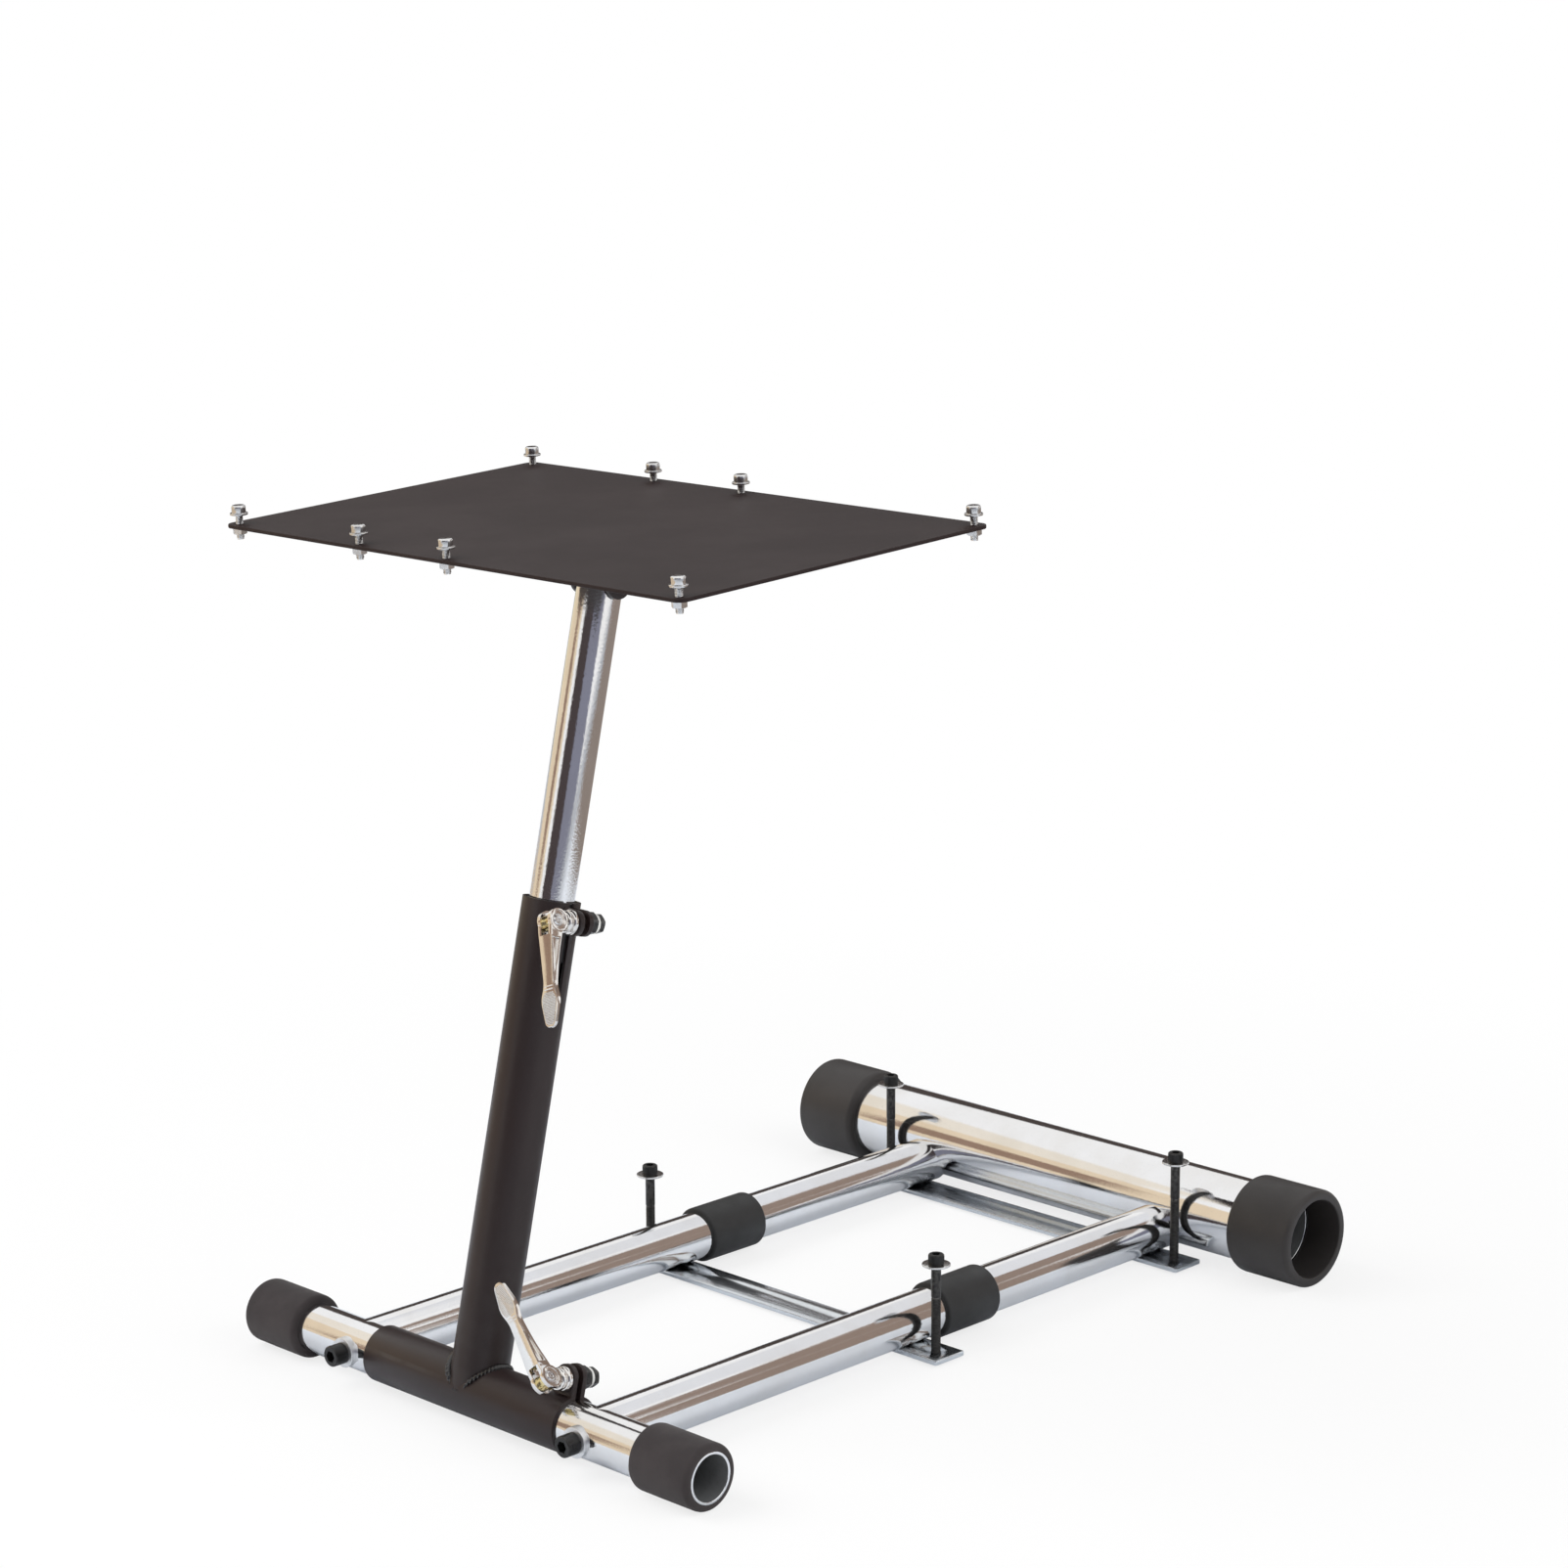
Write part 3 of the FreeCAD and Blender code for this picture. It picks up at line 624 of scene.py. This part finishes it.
lugFace, lugRoot, lugRound = halfSlot + clamp["lugThickness"], clamp["lugRoot"], clamp["lugRound"]
boltRadius = clamp["bolt"] + clamp["gap"]
ringDrop = clamp["slotEnd"] + clamp["ringGap"]  # from a slot to the ring cut beyond its end


def lugPair(outline):  # two cheeks beside the slot, from points of (x, z) or (x, z, round)
    cheeks = []
    for side in (-1, 1):
        points = [(p[0], side * halfSlot, *p[1:]) for p in outline]
        cheeks.append(slab(points, (0, side * clamp["lugThickness"], 0), clamp["lugSegments"]))
    return [("UNION", cheek) for cheek in cheeks]


def clampCuts(spec, low, high, slotEnd):  # the slot, its round end and the bolt's hole
    boltLine = shift(spec["clampX"], 0, spec["clampU"]) @ toY
    cutters = [block(low, high), slotEnd, moved(drill(boltRadius, clamp["boltSteps"]), boltLine)]
    return [("DIFFERENCE", cutter) for cutter in cutters]


lugTop = pivot["clampU"] + clamp["overhang"]
lugLeft, lugRight = pivot["clampX"] - halfLug, pivot["clampX"] + halfLug - pivot["lugInset"]
lugs = lugPair([(lugLeft, lugRoot), (lugRight, lugRoot), (lugRight, lugTop, lugRound),
                (lugLeft, lugTop, lugRound)])
slotEnd = moved(rod(clamp["slotEnd"], 0.0, lugTop, clamp["slotSteps"]),
                shift(pivot["slotStart"]) @ toZ)
slotCuts = clampCuts(pivot, (pivot["slotStart"], -halfSlot, 0),
                     (pivot["half"] + past, halfSlot, lugTop + past), slotEnd)
hub = combine(rod(pivot["radius"], -pivot["half"], pivot["half"], pivot["steps"]), *lugs,
              ("DIFFERENCE", drill(pivot["bore"], pivot["steps"])), *slotCuts)
hub = softenEdges(hub, clamp["edge"])
hub = cutPlane(hub, (pivot["slotStart"] - ringDrop, 0, 0), (1, 0, 0))  # ends the slot's shading
newPiece("pivot_hub", hub, columnPlace, satinBlack, "column", ["pivot_sleeve"])

lugEnd = column["clampX"] + clamp["overhang"]
lugLow, lugHigh = column["clampU"] - halfLug, column["clampU"] + halfLug
lugs = lugPair([(lugRoot, lugLow), (lugEnd, lugLow, lugRound), (lugEnd, lugHigh, lugRound),
                (lugRoot, lugHigh)])
slotEnd = moved(rod(clamp["slotEnd"], 0.0, lugEnd, clamp["slotSteps"]),
                shift(0, 0, column["slotBottom"]))
slotCuts = clampCuts(column, (0, -halfSlot, column["slotBottom"]),
                     (lugEnd + past, halfSlot, column["top"] + past), slotEnd)
underside = block((-cutReach, -cutReach, -cutReach), (cutReach, cutReach, 0))
bore = moved(rod(column["bore"], -past, column["top"] + past, column["steps"]), toZ)
upright = combine(moved(rod(column["radius"], -past, column["top"], column["steps"]), toZ), *lugs,
                  ("DIFFERENCE", drill(pivot["radius"] - snug, pivot["steps"])),
                  ("DIFFERENCE", underside), ("DIFFERENCE", bore), *slotCuts)
upright = softenEdges(upright, clamp["edge"], above=column["softFrom"])
upright = cutPlane(upright, (0, 0, column["slotBottom"] - ringDrop), (0, 0, 1))
newPiece("column_upright", upright, columnPlace, satinBlack, "column",
         ["column_tube"])

weld = {"size": 2.5, "sides": 12, "steps": 378, "ripples": 62, "rippleDepth": 0.26, "lump": 0.34,
        "lumpScale": 0.12, "offset": 1.1, "sink": 3.8, "full": 9.0, "sharpAngle": 60}
beadRadius = column["radius"] + weld["offset"]
bead = bmesh.new()  # a round section spun round the column, then laid on the hub
bmesh.ops.create_circle(bead, segments=weld["sides"], radius=weld["size"],
                        matrix=shift(beadRadius) @ turned(90, "X"))
bmesh.ops.spin(bead, geom=bead.verts[:] + bead.edges[:], cent=(0, 0, 0), axis=(0, 0, 1),
               angle=2 * math.pi, steps=weld["steps"], use_merge=True)
for v in bead.verts:
    around = math.atan2(v.co.y, v.co.x)
    outward = Vector((math.cos(around), math.sin(around), 0))
    centre = outward * beadRadius
    ripple = weld["rippleDepth"] * math.sin(around * weld["ripples"])
    swell = 1.0 + ripple + weld["lump"] * noise.noise(centre * weld["lumpScale"])
    height = math.sqrt(max(pivot["radius"] ** 2 - centre.y ** 2, 0.0))
    buried = weld["sink"] * max(0.0, 1.0 - height / weld["full"])  # gone where the tubes are flush
    v.co = centre - outward * buried + (v.co - centre) * swell + Vector((0, 0, height))
newPiece("column_weld", tidyMesh(bead), columnPlace, paintedWeld, "column",
         sharpAngle=weld["sharpAngle"])

bushing = {"inner": 17.55, "outer": 19.97, "length": 46.0, "sink": 0.6, "lip": 0.8, "steps": 96}
guide = ring(bushing["inner"], bushing["outer"], column["top"] - bushing["length"],
             column["top"] - bushing["sink"], bushing["lip"], bushing["steps"])
newPiece("column_guide", guide, columnPlace @ toZ, blackPlastic, "column",
         ["column_bushing"])
print("hub and column made")


# clamp hardware and cam levers, hanging along minus z and pulling along y

lever = {"slant": -8.0, "eyeRadius": 9.0, "eyeOffset": 0.8, "eyeInner": 4.0, "eyeOuter": 7.2,
         "eyeSteps": 72, "throat": 1.5, "barrel": 5.0, "edge": 0.5, "faceRing": 7.3,
         "faceDepth": 0.7, "reach": 30.0, "pocketFloor": 4.7, "pocketSegments": 4,
         "front": [(7.2, 0.0), (7.2, -8.0, 5.0), (6.3, -20.0, 8.0), (4.8, -50.0, 4.0),
                   (8.8, -61.0, 4.0), (4.5, -82.0, 4.2)],  # (half width, z, round)
         "side": [(4.6, 0.0), (4.6, -7.0, 4.0), (1.6, -29.0, 9.0), (1.5, -50.0, 6.0),
                  (0.9, -63.0, 4.0), (0.8, -82.0, 0.8), (-1.7, -82.0, 0.8), (-3.8, -50.0, 10.0),
                  (-7.2, -8.0, 4.0), (-7.2, 0.0)],  # (y, z, round)
         "pocket": [(-5.5, -13.5, 0.8), (1.3, -13.5, 0.8), (-1.3, -37.0, 0.5)]}
grip = {"columns": 15, "rows": 22, "width": 15.0, "length": 25.0, "height": 0.32, "skirt": 1.2,
        "y": -2.65, "z": -67.5, "sharpAngle": 20,
        "trims": [((7.6, 4.0), (21.0, -4.3)), ((6.4, 9.0), (8.0, 4.6)),
                  ((3.0, -12.0), (4.0, -4.4))]}  # (point, way out)
ridge = {"half": 4.6, "radius": 0.6, "rounds": (0.3, 0.3), "steps": 12, "y": -3.65,
         "heights": (-50.6, -53.0)}
pinEnd = {"tip": 7.4, "overlap": 0.2, "seat": 0.1, "steps": 48,
          "profile": [(0.9, 5.0, 0.3), (0.9, 3.9, 0.2), (0.0, 3.3, 0.4), (0.0, 2.2), (0.5, 1.8),
                      (0.5, 1.1), (0.1, 0.8), (0.1, 0.0)]}  # (back from the tip, radius, round)
hardware = {"stack": 10.0, "stackSteps": 72, "seatGap": 0.5, "stemSteps": 32, "stemPast": 1.0,
            "cup": [(0.0, 9.8, 1.2), (4.6, 9.8, 1.8), (5.0, 7.6, 0.3), (5.7, 7.6, 0.3),
                    (6.1, 9.0, 1.0), (9.4, 8.6, 1.4), (10.0, 5.8, 0.6)],  # (height, radius, round)
            "nut": 16.0, "nutHeight": 8.0, "nutChamfer": 1.5, "ringHeight": 2.8,
            "ringInner": 2.0, "ringRadius": 7.9, "ringEdge": 0.6, "ringSteps": 48,
            "jamNut": 13.6, "jamChamfer": 1.8, "end": 23.0}
paddleTip, paddleNeck = lever["side"][6:8]
paddleLean = math.atan2(paddleTip[0] - paddleNeck[0], paddleNeck[1] - paddleTip[1])
pinY = -(lugFace + hardware["stack"] + lever["eyeRadius"] + lever["eyeOffset"]
         + hardware["seatGap"])


def camLever():
    reach, inner, outer = lever["reach"], lever["eyeInner"], lever["eyeOuter"]
    halfOutline = [(p[0], -reach, *p[1:]) for p in lever["front"]]
    outline = halfOutline + [(-p[0], *p[1:]) for p in reversed(halfOutline)]
    profile = [(-reach, *p) for p in lever["side"]]
    handle = combine(slab(outline, (0, 2 * reach, 0)),
                     ("INTERSECT", slab(profile, (2 * reach, 0, 0))))
    pocketDepth = reach - lever["pocketFloor"]
    pockets = [slab([(side * reach, *p) for p in lever["pocket"]], (-side * pocketDepth, 0, 0),
                    lever["pocketSegments"]) for side in (-1, 1)]  # a hollow in each flank
    handle = cut(handle, *pockets)
    handle.transform(turned(lever["slant"], "X"))
    eyeLine = shift(0, lever["eyeOffset"])
    eye = moved(rod(lever["eyeRadius"], -outer, outer, lever["eyeSteps"]), eyeLine)
    throatFloor = -lever["eyeRadius"] - lever["throat"]
    throat = block((-inner, -reach, throatFloor), (inner, reach, reach))
    faces = [moved(rod(lever["faceRing"], outer - lever["faceDepth"], outer + past), eyeLine @ turn)
             for turn in (flip, asDrawn)]  # sunk face on the outside of each eye
    cutters = [throat, drill(lever["barrel"] + snug, pinEnd["steps"]), *faces]
    whole = combine(handle, ("UNION", eye), *[("DIFFERENCE", cutter) for cutter in cutters])
    return softenEdges(whole, lever["edge"], segments=3, angle=28)


def gripPanel():  # pyramids pressed in the paddle's face, trimmed to its outline
    panel = bmesh.new()
    size = Matrix.Diagonal((grip["width"], grip["length"], 1.0, 1.0))
    bmesh.ops.create_grid(panel, x_segments=grip["columns"], y_segments=grip["rows"], size=0.5,
                          matrix=size)
    bmesh.ops.poke(panel, faces=panel.faces[:], offset=grip["height"])
    for side in (-1, 1):
        for point, out in grip["trims"]:
            normal = Vector((side * out[0], out[1], 0)).normalized()
            cutPlane(panel, (side * point[0], point[1], 0), normal, clear=True)
    skirt = bmesh.ops.extrude_edge_only(panel, edges=[e for e in panel.edges if e.is_boundary])
    bmesh.ops.translate(panel, verts=newVerts(skirt), vec=(0, 0, -grip["skirt"]))
    return panel


def ridgePair():
    half, radius, steps, rounds = (ridge[key] for key in ("half", "radius", "steps", "rounds"))
    return joined(*[moved(rod(radius, -half, half, steps, rounds), shift(0, 0, z))
                    for z in ridge["heights"]])


for word, spec in (("column", column), ("sleeve", pivot)):
    body, node = word + "_lever", word + "_clamp_lever"
    bolt = columnPlace @ at(spec["clampX"], 0, spec["clampU"]) @ turned(spec["turn"], "Y")
    pin = bolt @ at(0, pinY)
    newPiece(node + "_arm", camLever(), pin, nickelPlate, body, [node])
    face = pin @ turned(lever["slant"], "X")
    panelTurn = Matrix.Rotation(math.pi / 2 + paddleLean, 4, "X")
    newPiece(node + "_grip", gripPanel(), face @ at(0, grip["y"], grip["z"]) @ panelTurn,
             nickelPlate, body, sharpAngle=grip["sharpAngle"])
    newPiece(node + "_ridges", ridgePair(), face @ at(0, ridge["y"]), nickelPlate, body)

    half, tip = lever["eyeInner"] + pinEnd["overlap"], pinEnd["tip"]
    barrel = rod(lever["barrel"], -half, half, pinEnd["steps"])
    stem = moved(rod(clamp["bolt"], 0.0, lugFace - pinY + hardware["stemPast"],
                     hardware["stemSteps"]), toY)
    newPiece(word + "_clamp_barrel", combine(barrel, ("UNION", stem)), pin, brassPin, "column",
             [word + "_clamp_bolt"])
    root = half - pinEnd["seat"]
    profile = [(root, 0.0), (root, lever["barrel"])]
    profile += [(tip - p[0], *p[1:]) for p in pinEnd["profile"]]
    ends = [moved(lathe(profile, pinEnd["steps"], closed=False), turn) for turn in (asDrawn, flip)]
    newPiece(word + "_clamp_pins", joined(*ends), pin, brightSteel, "column")

    boltLine = bolt @ toY
    top = -lugFace - hardware["stack"]
    stack = [(-lugFace - p[0], *p[1:]) for p in hardware["cup"]]
    cup = lathe([(-lugFace, boltRadius), *stack, (top, boltRadius)], hardware["stackSteps"])
    newPiece(word + "_clamp_cup", cup, boltLine, nickelPlate, "column",
             [word + "_clamp_dome"])
    nutEnd = lugFace + hardware["nutHeight"]
    ringEnd = nutEnd + hardware["ringHeight"]
    nut = hexNut(hardware["nut"], lugFace, nutEnd, hardware["nutChamfer"])
    newPiece(word + "_clamp_nut", nut, boltLine, blackOxide, "column")
    collar = ring(hardware["ringInner"], hardware["ringRadius"], nutEnd, ringEnd,
                  hardware["ringEdge"], hardware["ringSteps"])
    newPiece(word + "_clamp_ring", collar, boltLine, nylonWhite, "column")
    jamNut = hexNut(hardware["jamNut"], ringEnd, hardware["end"], hardware["jamChamfer"])
    newPiece(word + "_clamp_jam_nut", jamNut, boltLine, blackOxide, "column")
print("levers made")


# sliding post, bracket and tray

post = {"radius": 17.5, "wall": 2.0, "bottom": 235.0, "top": 637.0, "rim": 0.6, "steps": 128}
tray = {"rise": 667.0, "halfX": 252.5, "front": -170.0, "back": 150.0, "thickness": 3.0,
        "corner": 8.0, "edge": 0.7}
bracket = {"halfX": 42.0, "front": -44.0, "back": 30.0, "thickness": 4.0, "inset": 4.0,
           "pivotDrop": 42.0, "cheekRound": 12.0, "roundShare": 0.98, "cheekSink": 1.0,
           "segments": 10, "corner": 5.0, "edge": 0.6, "nut": 13.0, "nutHeight": 6.8, "tail": 4.0,
           "tailRounds": (0.5, 0.0)}
traySeat = columnPlace @ Vector((0, 0, tray["rise"] * millimetre))
trayPlace = Matrix.Translation(traySeat) @ Matrix.Rotation(rake, 4, "X")
newPiece("post_tube", pipe(post, post["bottom"], post["top"]), columnPlace @ toZ, postChrome,
         "post", ["sliding_post"], lining=steelBore)

tilt = lean + rake  # of the post, seen from the tray
pivotY = -bracket["pivotDrop"] * math.sin(tilt)
pivotZ = -bracket["pivotDrop"] * math.cos(tilt)
low, radius = -bracket["thickness"], bracket["cheekRound"]
sunk, endRound = low + bracket["cheekSink"], radius * bracket["roundShare"]
cheekFront, cheekBack = bracket["front"] + bracket["inset"], bracket["back"] - bracket["inset"]
yoke = plate(bracket["halfX"], bracket["front"], bracket["back"], low, bracket["thickness"],
             bracket["corner"])
for side in (-1, 1):
    x = side * post["radius"]
    cheek = slab([(x, cheekFront, sunk), (x, cheekBack, sunk), (x, cheekBack, low),
                  (x, pivotY + radius, pivotZ), (x, pivotY + radius, pivotZ - radius, endRound),
                  (x, pivotY - radius, pivotZ - radius, endRound), (x, pivotY - radius, pivotZ),
                  (x, cheekFront, low)], (side * bracket["thickness"], 0, 0), bracket["segments"])
    yoke = combine(yoke, ("UNION", cheek))
pivotHole = moved(drill(shankRadius + clamp["gap"], barBolt["steps"]), shift(0, pivotY, pivotZ))
newPiece("bracket_yoke", softenEdges(cut(yoke, pivotHole), bracket["edge"]), trayPlace, satinBlack,
         "post", ["tray_bracket"])

face = post["radius"] + bracket["thickness"]
tail = -face - bracket["nutHeight"] - bracket["tail"]
shank = rod(shankRadius, tail, face, barBolt["steps"], bracket["tailRounds"])
pivotBolt = joined(moved(screwHead(barBolt), shift(face) @ flip), shank,
                   hexNut(bracket["nut"], -face - bracket["nutHeight"], -face))
newPiece("bracket_pivot_bolt", pivotBolt, trayPlace @ at(0, pivotY, pivotZ), blackOxide, "post",
         ["tray_bracket_bolt"])
panel = plate(tray["halfX"], tray["front"], tray["back"], 0.0, tray["thickness"], tray["corner"])
newPiece("tray_panel", softenEdges(panel, tray["edge"], segments=3), trayPlace, trayBlack, "post",
         ["tray_plate"])

trayBolt = {"radius": 3.0, "rise": 11.5, "drop": 9.0, "head": 5.5, "headHeight": 6.0,
            "headRounds": (0.3, 1.6), "washer": 7.0, "washerInner": 2.0,
            "washerHeight": 1.6, "washerEdge": 0.4, "nut": 10.0, "nutHeight": 5.0, "pitch": 1.0,
            "threadDepth": 0.4, "steps": 48, "rows": {"front": -162.0, "rear": 142.0},
            "columns": {"throttle_outer": -243.0, "throttle_inner": -99.0, "stick_inner": 0.0,
                        "stick_outer": 243.0}}
top = trayBolt["rise"]
crown = top + trayBolt["headHeight"]
for columnWord, x in trayBolt["columns"].items():
    for rowWord, y in trayBolt["rows"].items():
        stud = thread(trayBolt["radius"], trayBolt["pitch"], trayBolt["threadDepth"],
                      threadForm["stub"] - trayBolt["drop"], top)
        washer = ring(trayBolt["washerInner"], trayBolt["washer"], top - trayBolt["washerHeight"],
                      top, trayBolt["washerEdge"], trayBolt["steps"])
        head = rod(trayBolt["head"], top, crown, trayBolt["steps"], trayBolt["headRounds"])
        nut = hexNut(trayBolt["nut"], -trayBolt["nutHeight"], 0.0)
        node = columnWord + "_" + rowWord + "_bolt"
        newPiece(node + "_stud", joined(stud, washer, head, nut), trayPlace @ at(x, y) @ toZ,
                 brightSteel, "post", [node])
print("post and tray made")


# floor, light and camera

stageGrain = {"scale": 3.0, "detail": 2.0, "dim": 0.985}


def stageMaterial(name):
    material = bpy.data.materials.new(name)
    material.use_nodes = True
    tree = material.node_tree
    tree.nodes.remove(tree.nodes["Principled BSDF"])
    return material, tree, addNode(tree, "TexCoord").outputs["Object"]


def speckledTone(tree, place, colour):
    speckle = addNode(tree, "TexNoise", Vector=place, Scale=stageGrain["scale"],
                      Detail=stageGrain["detail"]).outputs["Fac"]
    dimmed = [part * stageGrain["dim"] for part in colour]
    return mixColour(tree, speckle, (*colour, 1.0), (*dimmed, 1.0))


def directRays(tree):  # what the camera sees, also through or in a bright piece
    rays = addNode(tree, "LightPath")
    seen = rays.outputs["Is Camera Ray"]
    for other in ("Is Glossy Ray", "Is Transmission Ray"):
        seen = calc(tree, "MAXIMUM", seen, rays.outputs[other])
    return seen


def stageSheet(name, material, size, place=asDrawn):
    sheet = bmesh.new()
    bmesh.ops.create_grid(sheet, x_segments=1, y_segments=1, size=0.5,
                          matrix=place @ Matrix.Diagonal((*size, 1.0, 1.0)))
    data = bpy.data.meshes.new(name)
    sheet.to_mesh(data)
    data.materials.append(material)
    thing = bpy.data.objects.new(name, data)
    scene.collection.objects.link(thing)
    return thing


floor = {"size": 80.0, "colour": (0.95, 0.95, 0.95), "mirrored": (0.8, 0.84, 0.9), "near": 0.5,
         "far": 1.3, "least": 0.78}
floorWhite, tree, place = stageMaterial("floorWhite")
rays = addNode(tree, "LightPath").outputs
# painted reflection: where the metal mirrors the floor it shows the bluish grey mirrored tone, not
# the floor's own white
tone = mixColour(tree, rays["Is Glossy Ray"], speckledTone(tree, place, floor["colour"]),
                 (*floor["mirrored"], 1.0))
matt = addNode(tree, "BsdfDiffuse", Color=tone)
distance = addNode(tree, "VectorMath", {"operation": "LENGTH"}, Vector=place).outputs["Value"]
spread = addNode(tree, "MapRange", {"interpolation_type": "SMOOTHSTEP"}, Value=distance,
                 From_Min=floor["near"], From_Max=floor["far"], To_Min=floor["least"],
                 To_Max=1.0).outputs["Result"]  # less glow near the part, so its shadow stays
glow = addNode(tree, "Emission", Strength=1.0)
share = calc(tree, "MULTIPLY", rays["Is Camera Ray"], spread)
mix = addNode(tree, "MixShader")
for value, index in ((share, 0), (matt.outputs[0], 1), (glow.outputs[0], 2)):
    plug(tree, value, mix.inputs[index])
tree.links.new(mix.outputs[0], tree.nodes["Material Output"].inputs["Surface"])
stageSheet("floor", floorWhite, (floor["size"], floor["size"]))

studio = {"ambient": 0.55, "seen": 1.0, "colour": (1.0, 1.0, 1.0)}
world = bpy.data.worlds.new("studio")
scene.world = world
world.use_nodes = True
tree = world.node_tree
tree.nodes.clear()
strength = addNode(tree, "MapRange", Value=directRays(tree), To_Min=studio["ambient"],
                   To_Max=studio["seen"]).outputs["Result"]
sky = addNode(tree, "Background", Color=(*studio["colour"], 1.0), Strength=strength)
tree.links.new(sky.outputs[0], addNode(tree, "OutputWorld").inputs["Surface"])

lampAim = Vector((0, 0, 0.3))
lamps = [{"name": "key", "from": (-1.8, -2.2, 2.8), "size": 3.0, "power": 84.0},
         {"name": "fill", "from": (2.6, 0.6, 2.2), "size": 3.0, "power": 42.0}]
for lamp in lamps:
    light = bpy.data.lights.new(lamp["name"], "AREA")
    light.shape = "DISK"
    light.size = lamp["size"]
    light.energy = lamp["power"]
    lampObject = bpy.data.objects.new(lamp["name"], light)
    lampObject.location = lamp["from"]
    aim = lampAim - Vector(lamp["from"])
    lampObject.rotation_euler = aim.to_track_quat("-Z", "Y").to_euler()
    lampObject.visible_glossy = False  # bright metal mirrors the boards, not the lamps
    scene.collection.objects.link(lampObject)

brownTone, blackTone = (0.32, 0.245, 0.205), (0.075, 0.06, 0.062)
boards = {  # glowing sheets that paint reflections in the metal: turns about z and rises, from and to in degrees, and the tone
    "boardDark": ((-97.0, -54.0), (0.0, 36.0), blackTone),
    "boardBlue": ((-54.0, -8.0), (0.0, 36.0), (0.24, 0.245, 0.31)),
    "boardBrown": ((36.0, 51.0), (0.0, 22.0), brownTone),
    "boardBrownTop": ((43.0, 68.0), (22.0, 41.0), brownTone),
    "boardBrownSide": ((69.0, 95.0), (14.0, 36.0), (0.24, 0.18, 0.15)),
    "boardGrey": ((68.0, 122.0), (36.0, 52.0), (0.84, 0.85, 0.88)),
    "boardBack": ((112.0, 162.0), (0.0, 24.0), (0.075, 0.062, 0.058)),
    "boardPale": ((162.0, 184.0), (0.0, 14.0), (0.88, 0.78, 0.56)),
    "boardTan": ((184.0, 244.0), (0.0, 27.0), (0.86, 0.71, 0.52)),
    "boardTanTop": ((184.0, 230.0), (27.0, 42.0), (0.93, 0.86, 0.75)),
    "boardLever": ((219.0, 234.0), (5.0, 17.0), (0.34, 0.23, 0.17))}
boardRange, boardStep = 8.0, 0.1  # metres from the part, each board nearer by a step
mats = [{"name": "matBrown", "turn": 85.0, "start": 0.95, "width": 9.0, "tone": (0.3, 0.25, 0.22)},
        {"name": "matTan", "turn": 222.0, "start": 1.6, "width": 5.0, "tone": (0.7, 0.56, 0.41)}]
matLift = 0.002


def paintedReflectionFor(name, tone):
    reflectionGlow, tree, place = stageMaterial(name + "Cloth")
    glow = addNode(tree, "Emission", Color=speckledTone(tree, place, tone), Strength=1.0)
    tree.links.new(glow.outputs[0], tree.nodes["Material Output"].inputs["Surface"])
    return reflectionGlow


def mirrorSheet(name, tone, size, place):  # a glowing sheet seen only in the bright metal, a painted reflection
    sheet = stageSheet(name, paintedReflectionFor(name, tone), size, place)
    sheet.visible_camera = False
    sheet.visible_diffuse = False
    sheet.visible_shadow = False


for index, (name, (span, rise, tone)) in enumerate(boards.items()):  # painted reflections, far around the set
    first, last = span
    bottom, top = (boardRange * math.tan(math.radians(angle)) for angle in rise)
    width = 2 * boardRange * math.tan(math.radians(last - first) / 2)
    away = boardRange - boardStep * index
    stand = turned((first + last) / 2, "Z") @ shift(away, 0, (bottom + top) / 2)
    stand = stand @ turned(90, "Y") @ turned(90, "Z")
    mirrorSheet(name, tone, (width, top - bottom), stand)
for mat in mats:  # painted reflections the same way, lying on the floor beyond the part
    reach = boardRange - mat["start"]
    lying = turned(mat["turn"], "Z") @ shift(mat["start"] + reach / 2, 0, matLift)
    mirrorSheet(mat["name"], mat["tone"], (reach, mat["width"]), lying)

shot = {"azimuth": 44.42, "elevation": 12.45, "roll": -0.22, "distance": 3.0662, "lens": 89.25,
        "sensor": 36.0, "target": (0.03736, -0.046, 0.45743)}
aim = turned(shot["azimuth"], "Z") @ turned(90.0 - shot["elevation"], "X")
aim = aim @ turned(shot["roll"], "Z")
camera = bpy.data.cameras.new("camera")
camera.lens = shot["lens"]
camera.sensor_width = shot["sensor"]
cameraObject = bpy.data.objects.new("camera", camera)
cameraObject.matrix_world = Matrix.Translation(shot["target"]) @ aim @ shift(0, 0, shot["distance"])
scene.collection.objects.link(cameraObject)
scene.camera = cameraObject
scene.view_settings.view_transform = "Standard"
print("stage made")
